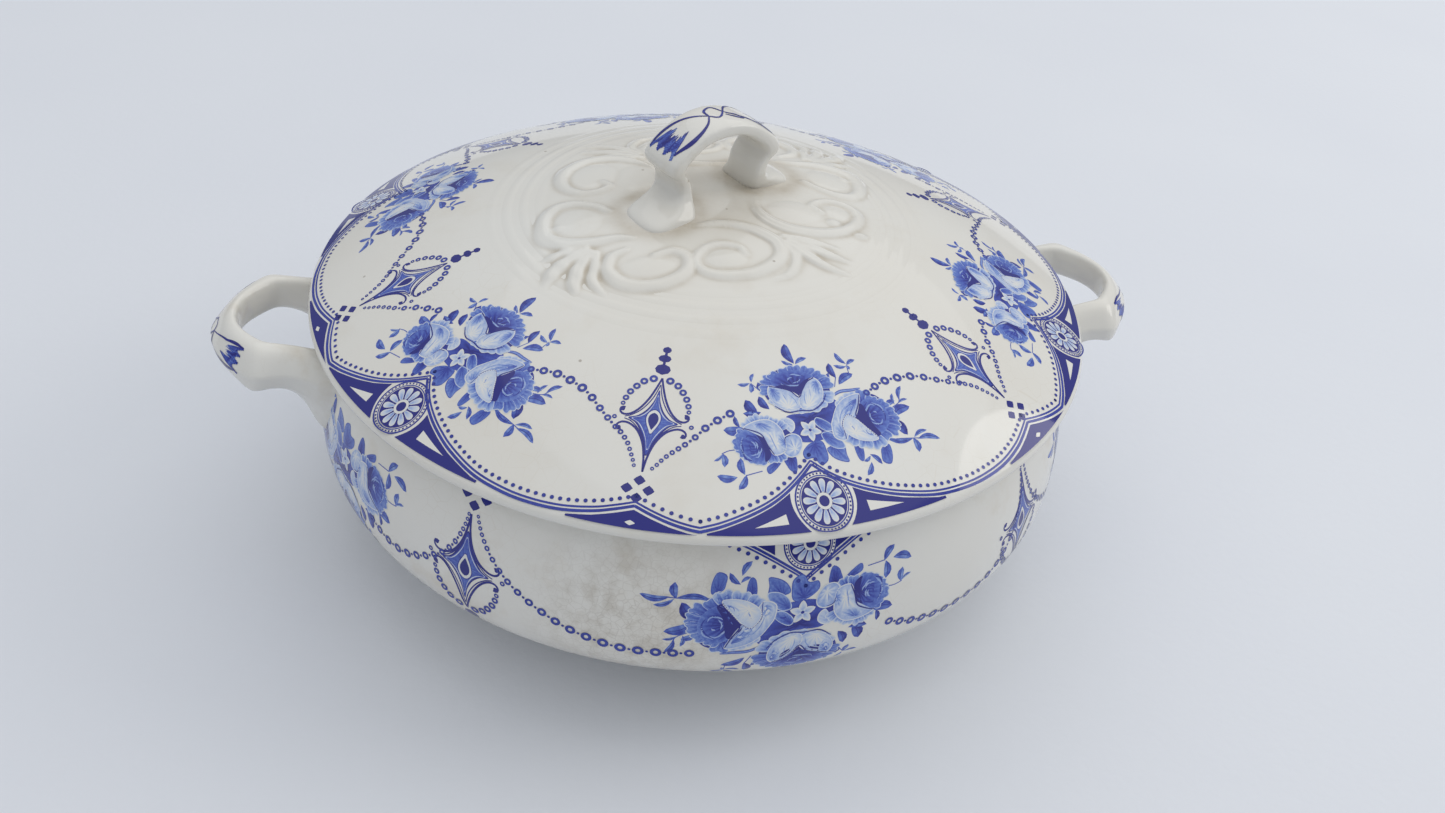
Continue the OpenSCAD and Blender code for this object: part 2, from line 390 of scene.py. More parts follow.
def dome_height(r, inset=0.0):
    return dome_c + np.sqrt((dome_r - inset) ** 2 - np.asarray(r, dtype=float) ** 2)


# Lid, with a softly rounded edge and the ring that drops into the bowl's mouth.
edge_top = lid_z + edge_h
ring_in = flange_r - flange_w
lid_profile = (
    [(r, float(dome_height(r))) for r in np.linspace(0, 117, 60)]
    + [(119.6, float(dome_height(119.6)) - 0.02), (121.0, float(dome_height(121.0)) - 0.25)]
    + [(121.7, edge_top - 0.6), (lid_r, edge_top - 1.5)]
    + [(121.8, lid_z + 0.75), (121.1, lid_z + 0.2), (120.2, lid_z)]
    + [(112.0, lid_z), (flange_r + 0.8, lid_z), (flange_r, lid_z - 0.8), (flange_r, flange_low + 1.2)]
    + [(flange_r - 0.9, flange_low + 0.2), (flange_r - 2.0, flange_low), (ring_in + 0.9, flange_low + 0.2)]
    + [(ring_in, flange_low + 1.2)]
    + [(r, float(dome_height(r, wall))) for r in np.linspace(ring_in, 0, 40)]
)
points, faces, corners = revolve(np.array(lid_profile)[::-1], TURNED_SIDES)
lid_dome = make_piece("lid_dome", points, faces, lid_glaze, corner_map=corners)
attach(lid_dome, "lid_body")
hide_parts("lid")


# ---------------------------------------------------------------- raised scrollwork on the lid
def smooth_line(knots, count, closed=False):
    """Evenly spaced points on a smooth curve through the knots; each knot may carry extra values."""
    knots = np.asarray(knots, dtype=float)
    if closed:
        padded = np.vstack([knots[-1], knots, knots[0], knots[1]])
    else:
        padded = np.vstack([2 * knots[0] - knots[1], knots, 2 * knots[-1] - knots[-2]])
    dense = []
    for p0, p1, p2, p3 in zip(padded[:-3], padded[1:-2], padded[2:-1], padded[3:]):
        t = np.linspace(0, 1, 24, endpoint=False)[:, None]
        dense.append(0.5 * (2 * p1 + (p2 - p0) * t + (2 * p0 - 5 * p1 + 4 * p2 - p3) * t ** 2
                            + (3 * p1 - p0 - 3 * p2 + p3) * t ** 3))
    dense = np.vstack(dense + [padded[-2][None]])
    along = np.concatenate([[0], np.cumsum(np.hypot(*np.diff(dense[:, :2], axis=0).T))])
    wanted = np.linspace(0, along[-1], count, endpoint=not closed)
    return np.column_stack([np.interp(wanted, along, dense[:, k]) for k in range(dense.shape[1])])


# Scrolls: middle lines in plan with half widths. The handle's feet stand between them.
SCROLLS = [
    [
        (-10, -20, 0.5), (-3, -19.3, 1.4), (4, -20.5, 2.2), (10, -24, 2.7), (14.6, -29.5, 2.8),
        (14.2, -35.5, 2.7), (10, -40, 2.6), (4, -43, 2.4), (-4, -43.5, 2.2), (-9.8, -41, 2.0),
        (-11.2, -36, 1.8), (-8, -31.5, 1.6), (-3, -29.7, 1.5), (2.4, -31.4, 1.7), (3.6, -34.6, 1.6),
    ],
    [
        (13.5, -4, 0.6), (12, -10, 1.8), (14, -17.2, 2.7), (20, -22.3, 3.0), (28, -23.8, 2.8),
        (36, -22.3, 2.5), (42, -18, 2.2), (45, -12.5, 2.0), (43.6, -7.5, 1.8), (39, -5, 1.7),
        (34, -5.6, 1.6), (30.8, -8.8, 1.8), (32.4, -12.2, 1.7),
    ],
    [
        (-32.5, -7.5, 1.5), (-36, -3.5, 1.8), (-41.5, -0.3, 2.1), (-47, -0.7, 2.3), (-50.8, -5, 2.5),
        (-52.3, -11, 2.8), (-51.5, -17, 3.3), (-46.5, -21, 3.3), (-39.5, -22.3, 2.6), (-32, -22, 1.8),
        (-27, -23, 0.7),
    ],
    [
        (-22.5, -32.6, 1.6), (-17, -31.3, 1.8), (-13.4, -34.5, 2.1), (-14.2, -39.8, 2.4),
        (-19.5, -43.8, 2.6), (-27, -44.8, 2.7), (-33.5, -42, 2.8), (-36.4, -36, 2.5), (-34.6, -30.5, 1.9),
        (-30, -28, 1.0),
    ],
    [
        (-15, 18, 0.7), (-20, 24, 2.0), (-27, 28.2, 2.7), (-35, 28.2, 2.9), (-41.5, 23, 2.9),
        (-44, 16.5, 2.6), (-43, 10, 2.2), (-39, 5.8, 2.0), (-34, 5.2, 1.8), (-30.2, 7.6, 1.8),
        (-31.4, 11, 1.6),
    ],
]
# The scrolls that come again, turned half round, on the far side of the handle.
HIDDEN_COPIES = (0, 2, 3)
# Leaves that spread from the scrolls, laid out in the same way.
SPRAYS = [
    [(-41, -24.5, 1.2), (-48, -25.2, 2.0), (-54, -26.8, 0.4)],
    [(-41, -25.5, 1.5), (-47.5, -29.5, 2.7), (-52, -33.5, 2.3), (-54.5, -38, 0.5)],
    [(-40, -27, 1.5), (-44, -32.5, 2.5), (-46, -38.5, 2.3), (-46.5, -43, 0.5)],
    [(-38.6, -27.5, 1.2), (-39.6, -33, 1.8), (-41.2, -40, 1.6), (-38, -46, 0.4)],
    [(17, -26.5, 1.5), (25, -29, 2.2), (33, -31.5, 0.5)],
    [(18.5, -28.5, 1.8), (26, -33, 2.6), (35, -37.5, 0.5)],
    [(18, -29.5, 1.6), (22, -35, 2.5), (27, -40, 1.7), (33, -43, 0.5)],
    [(17, -29, 1.2), (18.6, -36, 1.9), (15.5, -43, 1.4), (9.6, -46, 0.4)],
]
# Soft mounds between them: place, half sizes and height.
MOUNDS = [
    (-2, -36.5, 6.2, 4.6, 0.9), (24, -13, 9, 6.5, 0.7), (38, -12, 4.5, 4.5, 0.7),
    (35.4, -17.8, 2.4, 2.4, 1.0), (-42, -11, 7.5, 7.5, 0.7), (-47.6, -12.4, 2.2, 2.0, 0.9),
    (-25, -37, 8, 5, 0.7), (-34, 17, 8, 9, 0.8), (42.5, -23.5, 2.2, 1.6, 1.1), (-21, 11, 6, 9, 0.5),
]


# How far round a line its work can reach, and where the raised work starts and ends.
WORK_MARGIN, WORK_START, WORK_END = 4.0, 13, 68


def raised_height(x, y):
    """Height of the raised work over the dome at points in plan, in mm."""
    height = np.zeros_like(x)
    lines = [(smooth_line(knots, 90), False) for knots in SCROLLS]
    lines += [(smooth_line(knots, 40), True) for knots in SPRAYS]
    lines += [
        (line * (-1, -1, 1), leafy)
        for k, (line, leafy) in enumerate(lines)
        if k in HIDDEN_COPIES or leafy
    ]
    swell = np.zeros_like(x)
    for mx, my, rx, ry, tall in MOUNDS + [(-a, -b, *rest) for a, b, *rest in MOUNDS[:1] + MOUNDS[4:7]]:
        crown = np.clip(1 - ((x - mx) / rx) ** 2 - ((y - my) / ry) ** 2, 0, 1) ** 0.8
        swell = np.maximum(swell, tall * crown)
    for line, leafy in lines:
        near = (x > line[:, 0].min() - WORK_MARGIN) & (x < line[:, 0].max() + WORK_MARGIN)
        near &= (y > line[:, 1].min() - WORK_MARGIN) & (y < line[:, 1].max() + WORK_MARGIN)
        u, v = x[near], y[near]
        away = np.hypot(u[:, None] - line[None, :, 0], v[:, None] - line[None, :, 1])
        share = away / (0.86 * line[None, :, 2])
        nearest = share.argmin(axis=1)
        q = share[np.arange(len(nearest)), nearest]
        half = line[nearest, 2]
        crest = 1.05 * np.minimum(half / 2.6, 1.0) ** 0.6
        body = crest * np.clip(1 - q ** 3.2, 0, 1) ** 0.7
        if not leafy:
            body -= 0.34 * np.exp(-((q - 0.50) / 0.15) ** 2) * np.clip(half - 1.0, 0, 1)
            body -= 0.16 * np.exp(-(q / 0.13) ** 2) * np.clip(half - 1.6, 0, 1)
        else:
            body -= 0.40 * np.exp(-(q / 0.18) ** 2)
        height[near] = np.maximum(height[near], body)
    r = np.hypot(x, y)
    height = np.maximum(height, 0.75 * swell)
    height *= np.clip((r - WORK_START) / 5, 0, 1) * np.clip((WORK_END - r) / 5, 0, 1)
    turn = np.arctan2(y, x)
    ripple = 0.11 * np.exp(-((r - 59) / 7) ** 2) * np.sin(r * 1.25 + 0.9 * np.sin(3 * turn + 0.4))
    return height + ripple


def soften(field, passes):
    """Rounds a field on the polar grid, which wraps in its second direction."""
    for _ in range(passes):
        field = (field + np.roll(field, 1, axis=1) + np.roll(field, -1, axis=1)) / 3
        inner = (field[:-2] + field[1:-1] + field[2:]) / 3
        field = np.vstack([field[:1], inner, field[-1:]])
    return field


RELIEF_R, RELIEF_SPOKES = 69.5, 600
rings_r = np.linspace(0.5, RELIEF_R, 139)
spokes = np.arange(RELIEF_SPOKES) / RELIEF_SPOKES * 2 * math.pi
R, A = np.meshgrid(rings_r, spokes, indexing="ij")
X, Y = R * np.cos(A), R * np.sin(A)
work = raised_height(X, Y)
work = soften(work, 1)
# Painted shade, partly dirt: darker in the hollows of the raised work, over a broad round patch under the
# handle's arch, and in a ring round each of the handle's feet.
hollow_dirt_and_shade = np.clip((soften(work, 8) - work) * 3.4, 0, 1) + 0.50 * np.exp(-((R - 12) / 12) ** 2)
for side in (1, -1):
    from_foot = np.hypot(X - side * 20 * math.cos(lid_turn), Y - side * (20 * math.sin(lid_turn) + 3))
    hollow_dirt_and_shade += 0.85 * np.exp(-((from_foot - 11.5) / 3.6) ** 2)
skin = 0.05 * np.clip((RELIEF_R - R) / 3, -1, 1) - 0.02
Z = dome_height(R) + work + skin
rows, cols = R.shape
points = np.column_stack([X.ravel(), Y.ravel(), Z.ravel()])
index = np.arange(rows * cols).reshape(rows, cols)
nxt = np.roll(index, -1, axis=1)
quads = np.stack([index[:-1], index[1:], nxt[1:], nxt[:-1]], axis=-1).reshape(-1, 4)
pole = len(points)
under = pole + 1 + np.arange(cols)
points = np.vstack([
    points,
    [(0, 0, dome_z + 0.03)],
    np.column_stack([X[-1], Y[-1], dome_height(R[-1]) - 1.0]),
    [(0, 0, dome_z - 1.0)],
])
low_pole = len(points) - 1
faces = quads.tolist()
faces += [(pole, index[0, i], index[0, (i + 1) % cols]) for i in range(cols)]
faces += [(index[-1, i], under[i], under[(i + 1) % cols], index[-1, (i + 1) % cols]) for i in range(cols)]
faces += [(under[i], low_pole, under[(i + 1) % cols]) for i in range(cols)]
shade = np.concatenate([np.clip(hollow_dirt_and_shade, 0, 1).ravel(), [0.3], np.zeros(cols), [0.0]])
flat_map = np.column_stack([0.5 + points[:, 0] / 150, 0.5 + points[:, 1] / 150])
flat_map[-1 - cols:] = 0.5 + (flat_map[-1 - cols:] - 0.5) * 0.02 + np.array([0.485, 0.485])
corners = np.array([flat_map[v] for f in faces for v in f])
lid_relief = make_piece(
    "lid_relief", points, faces, relief_glaze, attributes={"hollow_dirt_and_shade": shade}, corner_map=corners,
)
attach(lid_relief, "lid_body")
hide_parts("lid_scrollwork")


# ---------------------------------------------------------------- handles
def skin_over(name, loops, finish, smooth_steps):
    """A piece skinned over equal loops of points, one after another, with its ends closed."""
    loops = np.asarray(loops, dtype=float)
    count, size = loops.shape[0], loops.shape[1]
    points = loops.reshape(-1, loops.shape[2])
    faces = []
    for k in range(count - 1):
        for i in range(size):
            j = (i + 1) % size
            faces.append((k * size + i, k * size + j, (k + 1) * size + j, (k + 1) * size + i))
    faces.append(tuple(range(size))[::-1])
    faces.append(tuple((count - 1) * size + i for i in range(size)))
    obj = make_piece(name, points, faces, finish)
    mesh = obj.data
    shape = bmesh.new()
    shape.from_mesh(mesh)
    bmesh.ops.recalc_face_normals(shape, faces=shape.faces)
    shape.to_mesh(mesh)
    shape.free()
    if smooth_steps:
        crease = mesh.attributes.new("crease_edge", "FLOAT", "EDGE")
        sharp = {1: 0.45, 3: 0.62, 4: 0.35, 5: 0.45}
        for edge, value in zip(mesh.edges, crease.data):
            a, b = edge.vertices
            if abs(a - b) == size:
                value.value = sharp.get(min(a, b) % size, 0.0)
        smoother = obj.modifiers.new("Smooth", "SUBSURF")
        smoother.levels = smoother.render_levels = smooth_steps
    return obj


# Lid handle: outer and inner line of the strap at each station, and its width.
ARCH = [
    (0.0, 25.3, 0.0, 20.2, 16.0),
    (5.0, 24.7, 4.4, 19.8, 16.0),
    (9.8, 23.2, 8.4, 18.4, 16.0),
    (14.4, 20.6, 11.6, 16.2, 16.2),
    (18.2, 17.6, 13.8, 14.3, 16.6),
    (20.3, 14.9, 14.6, 12.7, 16.8),
    (20.2, 12.4, 14.2, 11.2, 16.2),
    (18.2, 10.4, 12.8, 9.6, 15.4),
    (16.9, 8.0, 11.7, 7.6, 15.2),
    (16.8, 5.8, 11.3, 5.2, 15.2),
    (17.8, 3.9, 11.2, 2.8, 15.6),
    (20.4, 2.3, 11.4, 0.8, 16.8),
    (24.8, 0.9, 11.8, -0.9, 17.8),
    (29.0, -0.9, 12.4, -2.4, 18.2),
    (30.2, -3.4, 12.6, -4.0, 18.2),
]
# How far the handle's feet swing to the side, by station.
FOOT_SWING = [(0, 0), (9, 0), (10, 0.9), (11, 2.2), (12, 3.4), (13, 4.0), (14, 4.2)]
ARCH_SIDES, ARCH_STATIONS, ARCH_FLAT, ARCH_ROUND = 40, 64, 0.45, 0.55


def arch_loops():
    """The strap's loops of points from foot to foot, and its middle line with the way outward."""
    t = np.linspace(0, len(ARCH) - 1, ARCH_STATIONS)
    table = np.array(ARCH)

    def at(column):
        knots = np.column_stack([np.arange(len(ARCH)), table[:, column]])
        line = smooth_line(knots, 400)
        return np.interp(t, line[:, 0], line[:, 1])

    out_u, out_z, in_u, in_z, width = (at(k) for k in range(5))
    swing = np.interp(t, *np.array(FOOT_SWING).T)
    stations = list(zip(out_u, out_z, in_u, in_z, width, swing))
    stations = [(-a, b, -c, d, w, -f) for a, b, c, d, w, f in stations[:0:-1]] + stations
    turn = (math.cos(lid_turn), math.sin(lid_turn))
    loops = []
    for ou, oz, iu, iz, w, shift in stations:
        mid = np.array([(ou + iu) / 2, (oz + iz) / 2])
        thick = np.array([(ou - iu) / 2, (oz - iz) / 2])
        loop = []
        for k in range(ARCH_SIDES):
            a = 2 * math.pi * k / ARCH_SIDES
            c, s = math.cos(a), math.sin(a)
            across = w / 2 * math.copysign(abs(c) ** ARCH_FLAT, c)
            through = math.copysign(abs(s) ** ARCH_ROUND, s)
            crown = 1 - 0.10 * (across / (w / 2)) ** 2 if s > 0 else 1
            u, z = mid + thick * through * crown
            across += shift
            loop.append((u * turn[0] - across * turn[1], u * turn[1] + across * turn[0], dome_z + z))
        loops.append(loop)
    spine = [((ou + iu) / 2, (oz + iz) / 2, ou - iu, oz - iz) for ou, oz, iu, iz, _, _ in stations]
    return loops, np.array(spine)


arch_skin, arch_spine = arch_loops()
lid_arch = skin_over("lid_arch", arch_skin, handle_glaze, 0)
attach(lid_arch, "lid_body")
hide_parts("lid_handle")

# Side handle, from the bowl to its middle: (out, across, height) of the eight corners of each
# section, from the inner top edge over the outer face and back under. Out is along the handle's
# line and across is to its side.
HANDLE = [
    [
        (109, 16.0, 72), (109, 20, 73.5), (107, 25.5, 72), (105, 31.0, 66), (108, 32.0, 55),
        (113, 26.5, 46.5), (113, 20, 54), (112, 15.5, 64),
    ],
    [
        (117, 16.4, 73.8), (117, 20, 75.0), (117, 24.4, 73.4), (116, 29.0, 67.5), (118.5, 28.8, 58),
        (121.6, 25.0, 49.5), (120.6, 19.5, 57), (119, 16.0, 66),
    ],
    [
        (122, 16.6, 75.4), (122, 19.4, 76.2), (122, 23.0, 75.0), (122, 26.8, 69.8), (123.0, 26.4, 63.5),
        (123.6, 23.0, 58.4), (123, 18.4, 61.5), (122, 16.2, 68),
    ],
    [
        (127, 16.6, 76.8), (127, 18.8, 77.3), (127.2, 22.0, 76.2), (127.6, 25.4, 71.0), (127.8, 25.0, 66.6),
        (127.6, 21.6, 63.6), (127, 18.0, 65.2), (127, 16.4, 70),
    ],
    [
        (131.6, 16.4, 77.6), (131.9, 18.6, 78.0), (132.6, 22.2, 77.4), (133.6, 26.2, 71.2),
        (133.8, 25.8, 67.2), (133.2, 22.0, 65.2), (132, 17.8, 66.8), (131.6, 16.3, 71),
    ],
    [
        (134.0, 15.8, 77.8), (134.9, 18.0, 78.2), (136.0, 22.0, 78.2), (138.0, 26.6, 71.0),
        (138.6, 25.6, 64.8), (136.6, 21.0, 65.6), (134.6, 16.4, 67.3), (134.0, 15.6, 72),
    ],
    [
        (136.6, 13.2, 77.8), (138.0, 15.4, 78.2), (139.8, 18.2, 77.6), (142.6, 21.0, 71.4),
        (142.8, 20.4, 66.8), (140.2, 16.8, 66.6), (137.2, 13.6, 67.3), (136.6, 13.0, 72),
    ],
    [
        (140.2, 9.2, 77.8), (141.8, 10.6, 78.1), (144.0, 12.4, 77.4), (148.0, 13.6, 71.6),
        (147.8, 12.8, 67.4), (144.6, 11.2, 66.9), (141.0, 9.6, 67.4), (140.2, 9.2, 72),
    ],
    [
        (142.6, 4.8, 77.7), (144.2, 5.2, 78.0), (146.4, 5.8, 77.3), (150.9, 6.4, 71.8), (150.6, 6.0, 67.4),
        (147.0, 5.4, 66.9), (143.4, 5.0, 67.4), (142.6, 4.8, 72),
    ],
    [
        (143.2, 0.0, 77.7), (144.8, 0.0, 78.0), (147.0, 0.0, 77.3), (151.6, 0.0, 71.8), (151.3, 0.0, 67.4),
        (147.6, 0.0, 66.9), (144.0, 0.0, 67.4), (143.2, 0.0, 72),
    ],
]


def handle_loops(side):
    """The side handle's loops, from one root to the other."""
    half = [[(x, -y, z) for x, y, z in loop] for loop in HANDLE]
    other = [[(x, y, z) for x, y, z in loop] for loop in HANDLE[-2::-1]]
    return [[(side * x, side * y, z) for x, y, z in loop] for loop in half + other]


straps = []
for side, name in ((1, "right"), (-1, "left")):
    strap = skin_over(f"handle_strap_{name}", handle_loops(side), handle_glaze, 3)
    straps.append(strap)
    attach(strap, "bowl_body")
    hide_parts(f"handle_{name}")


# ---------------------------------------------------------------- transfer prints
LID_PRINT_R, LID_BORDER_R = 121.0, 121.4


def on_dome(x, y, r, lift):
    """Points over the dome and the way out of it there."""
    foot = np.column_stack([x, y, dome_height(r)])
    normal = (foot - np.array([0, 0, dome_c])) / dome_r
    return foot + normal * np.asarray(lift)[:, None], normal


def on_lid(azimuth):
    """Lays a sheet on the lid: sheet x runs round the lid and y away from its axis."""
    c, s = math.cos(math.radians(azimuth)), math.sin(math.radians(azimuth))

    def lay(x, y, lift):
        px, py = y * c - x * s, y * s + x * c
        return on_dome(px, py, np.minimum(np.hypot(px, py), LID_PRINT_R), lift)

    return lay


side_line = bowl_side(0, rim_z, 6.0)[:-5]
side_step = np.diff(side_line, axis=0)
side_along = np.concatenate([[0], np.cumsum(np.hypot(side_step[:, 0], side_step[:, 1]))])

# No print comes nearer the bowl's rim than this.
PRINT_TOP = 0.7
# The side's slope is taken over twice this length.
SIDE_REACH = 0.2


def on_side(azimuth, along, lift):
    """Points on the bowl's side, from degrees round it and the distance down from its rim."""
    along = np.maximum(along, PRINT_TOP)
    r = np.interp(along, side_along, side_line[:, 0])
    z = np.interp(along, side_along, side_line[:, 1])
    before, after = along - SIDE_REACH, along + SIDE_REACH
    ahead_r = np.interp(after, side_along, side_line[:, 0]) - np.interp(before, side_along, side_line[:, 0])
    ahead_z = np.interp(after, side_along, side_line[:, 1]) - np.interp(before, side_along, side_line[:, 1])
    size = np.hypot(ahead_r, ahead_z)
    out_r, out_z = -ahead_z / size, ahead_r / size
    a = np.radians(azimuth)
    normal = np.column_stack([out_r * np.cos(a), out_r * np.sin(a), out_z])
    return np.column_stack([r * np.cos(a), r * np.sin(a), z]) + normal * lift[:, None], normal


# The bowl carries the lid's sheets turned upside down and a little larger.
POINT_R, POINT_DOWN, LARGER, LONGER = 104.5, 16.5, 1.20, 1.24


def on_bowl(azimuth):
    """Lays a lid sheet on the bowl, turned upside down."""
    def lay(x, y, lift):
        return on_side(
            azimuth - np.degrees(x * LARGER / LID_PRINT_R), POINT_DOWN + LONGER * (POINT_R - y), lift,
        )

    return lay


def on_bowl_point(azimuth):
    """The bowl's medallion, no larger than the lid's, set at the point of the border."""
    def lay(x, y, lift):
        return on_side(azimuth - np.degrees(x / LID_PRINT_R), POINT_DOWN + (POINT_R - y), lift)

    return lay


# How far the print lies under the glaze's face, and each shape over the one before.
UNDER_GLAZE, SHEET_STEP = 0.025, 0.007
INK_FULL, LEAF_BEND, VEINED_LEAF = 0.97, 0.12, 3.2


def used_only(faces, *fields):
    """The faces and the fields of their points, without the points that no face uses."""
    used = np.unique(np.concatenate([np.asarray(f) for f in faces]))
    renumber = np.zeros(len(fields[0]), dtype=int)
    renumber[used] = np.arange(len(used))
    return [tuple(renumber[list(f)]) for f in faces], [field[used] for field in fields]


class Transfer:
    """A sheet of printed shapes; each has its own ink and lies a hair over the one before."""

    def __init__(self):
        self.places, self.inks, self.levels, self.maps, self.faces = [], [], [], [], []
        self.count, self.level, self.shapes = 0, 0, 0

    def lay_grid(self, grid, ink, wrap=False, pole=False):
        rows, cols = grid.shape[:2]
        index = self.count + np.arange(rows * cols).reshape(rows, cols)
        seat = np.random.RandomState(self.shapes).rand() * 0.8
        across = np.tile(np.linspace(0, 1, cols), (rows, 1))
        down = np.tile(np.linspace(0, 1, rows)[:, None], (1, cols))
        self.places.append(grid.reshape(-1, 2))
        self.inks.append(np.clip(ink, 0, 1).ravel())
        self.maps.append(np.column_stack([
            0.02 + 0.90 * np.clip(ink, 0, 1).ravel() + 0.04 * down.ravel() + 0.02 * across.ravel(),
            0.05 + seat + 0.1 * across.ravel() + 0.02 * down.ravel(),
        ]))
        self.levels.append(np.full(rows * cols, float(self.level)))
        if wrap:
            index = np.hstack([index, index[:, :1]])
        a, b, c, d = index[:-1, :-1], index[1:, :-1], index[1:, 1:], index[:-1, 1:]
        if pole:
            self.faces += [(int(index[0, 0]), int(p), int(q)) for p, q in zip(b[0], c[0])]
            a, b, c, d = a[1:], b[1:], c[1:], d[1:]
        self.faces += np.stack([a, b, c, d], axis=-1).reshape(-1, 4).tolist()
        self.count += rows * cols
        self.shapes += 1

    def petal(
        self, outline, base, heart, edge, line=None, rows=4, step=0.55, hatch=0.12, waves=9, fade=1.0,
        wide=0.28,
    ):
        """A closed shape shaded from its base out to its edge, with engraved lines and an outline."""
        outline = np.asarray(outline, dtype=float)
        around = max(12, int(np.hypot(*np.diff(np.vstack([outline, outline[:1]]), axis=0).T).sum() / step))
        loop = smooth_line(outline, around, closed=True)
        area = 0.5 * np.sum(loop[:, 0] * np.roll(loop[:, 1], -1) - np.roll(loop[:, 0], -1) * loop[:, 1])
        if area < 0:
            loop = loop[::-1]
        base = np.asarray(base, dtype=float)
        reach = np.hypot(*(loop - base).T)
        t = np.linspace(0, 1, rows + 1)
        t = np.concatenate([t[:-1], [-1, -2, 1.0]]) if line is not None else t
        rim = 1 - np.clip(wide / np.maximum(reach, wide * 2), 0, 0.5)
        share = np.array([np.full(around, v) if v >= 0 else (rim - 0.004 if v == -1 else rim) for v in t])
        share = np.maximum.accumulate(share, axis=0)
        grid = base + share[:, :, None] * (loop - base)[None]
        angle = np.arange(around) / around * 2 * math.pi
        groove = np.sin(angle * waves + 1.3 * np.sin(angle * 2 + waves)) * np.clip(1 - share, 0, 1) ** 0.7
        ink = heart + (edge - heart) * share ** fade + hatch * groove
        ink[0] = heart
        if line is not None:
            ink[-2:] = line
        self.lay_grid(grid, ink, wrap=True, pole=True)

    def line(self, knots, width, ink, step=0.7, taper=0.0, edge=None):
        """A printed line through the knots, which may carry their own widths."""
        knots = np.asarray(knots, dtype=float)
        length = np.hypot(*np.diff(knots[:, :2], axis=0).T).sum()
        path = smooth_line(knots, max(4, int(length / step) + 1))
        ahead = np.gradient(path[:, :2], axis=0)
        ahead /= np.maximum(np.hypot(*ahead.T), 1e-9)[:, None]
        side = np.column_stack([-ahead[:, 1], ahead[:, 0]])
        half = path[:, 2] / 2 if path.shape[1] > 2 else np.full(len(path), width / 2)
        t = np.linspace(0, 1, len(path))
        half = half * (1 - taper * np.abs(2 * t - 1) ** 3)
        offsets = np.array([-1.0, 0.0, 1.0])
        grid = path[:, None, :2] + side[:, None] * half[:, None, None] * offsets[None, :, None]
        tones = np.full((len(path), 3), ink)
        if edge is not None:
            tones[:, [0, 2]] = edge
        self.lay_grid(grid[:, ::-1], tones)

    def leaf(self, tip, root, width, dark, light):
        """A pointed leaf, darker on one side of its vein."""
        tip, root = np.asarray(tip, dtype=float), np.asarray(root, dtype=float)
        ahead = root - tip
        side = np.array([-ahead[1], ahead[0]])
        length = np.hypot(*ahead)
        rows = max(5, int(length / 0.7))
        t = np.linspace(0, 1, rows)
        spine = tip + ahead * t[:, None] + side * (LEAF_BEND * np.sin(math.pi * t))[:, None]
        half = width / 2 * np.sin(math.pi * t ** 0.85) ** 0.75 / length
        offsets = np.array([-1.0, -0.5, 0.0, 0.5, 1.0])
        grid = spine[:, None] + side * (half[:, None] * offsets[None])[:, :, None]
        tones = np.tile([dark * 0.9, dark, light + 0.1, light, light * 0.85 + 0.15], (rows, 1))
        tones += 0.10 * np.sin(np.arange(rows) * 2.1)[:, None]
        self.lay_grid(grid[:, ::-1], tones)
        if length > VEINED_LEAF:
            self.level += 0.5
            self.line([spine[1], spine[rows // 2], spine[-2]], 0.16, 0.95, taper=0.6)
            self.level -= 0.5

    def patch(self, top, bottom, ink, rows):
        """The ground between two lines."""
        count = max(4, int(np.hypot(*np.diff(np.asarray(top, dtype=float), axis=0).T).sum() / 0.8))
        upper, lower = smooth_line(top, count), smooth_line(bottom, count)
        t = np.linspace(0, 1, rows)[:, None, None]
        self.lay_grid((upper + (lower - upper) * t)[:, ::-1], np.full((rows, count), ink))

    def dot(self, x, y, r, ink, sides=10):
        a = np.arange(sides) / sides * 2 * math.pi
        ring = np.stack([x + r * np.cos(a), y + r * np.sin(a)], axis=-1)
        grid = np.stack([np.full((sides, 2), (x, y)), ring])
        self.lay_grid(grid, np.full((2, sides), ink), wrap=True, pole=True)

    def ring(self, x, y, outer, inner, ink, sides=40):
        a = np.arange(sides) / sides * 2 * math.pi
        radii = np.linspace(inner, outer, 3)[:, None]
        grid = np.stack([x + radii * np.cos(a), y + radii * np.sin(a)], axis=-1)
        self.lay_grid(grid, np.full((3, sides), ink), wrap=True)

    def diamond(self, x, y, wide, tall, ink, belly=0.25):
        """A lozenge whose sides swell by its belly."""
        corners = [(0, -1), (0.5 + belly / 2, -0.5 - belly / 4), (1, 0), (0.5 + belly / 2, 0.5 + belly / 4)]
        corners += [(-a, -b) for a, b in corners]
        a = np.array([(x + wide / 2 * p, y + tall / 2 * q) for p, q in corners])
        grid = np.stack([np.full_like(a, 0) + (x, y), (a + (x, y)) / 2, a])
        self.lay_grid(grid, np.full((3, len(a)), ink), wrap=True, pole=True)

    def sheets(self, lays):
        """The sheet laid at each place: points, normals, faces, inks and map corners."""
        places, levels = np.vstack(self.places), np.concatenate(self.levels)
        inks, maps = np.concatenate(self.inks), np.vstack(self.maps)
        faces, (places, levels, inks, maps) = used_only(self.faces, places, levels, inks, maps)
        points, normals, all_faces = [], [], []
        for k, lay in enumerate(lays):
            p, n = lay(places[:, 0], places[:, 1], UNDER_GLAZE + SHEET_STEP * levels)
            points.append(p)
            normals.append(n)
            all_faces += [tuple(v + k * len(p) for v in f) for f in faces]
        count = len(lays)
        points, normals = np.vstack(points), np.vstack(normals)
        return points, normals, all_faces, np.tile(inks, count), np.tile(maps, (count, 1))


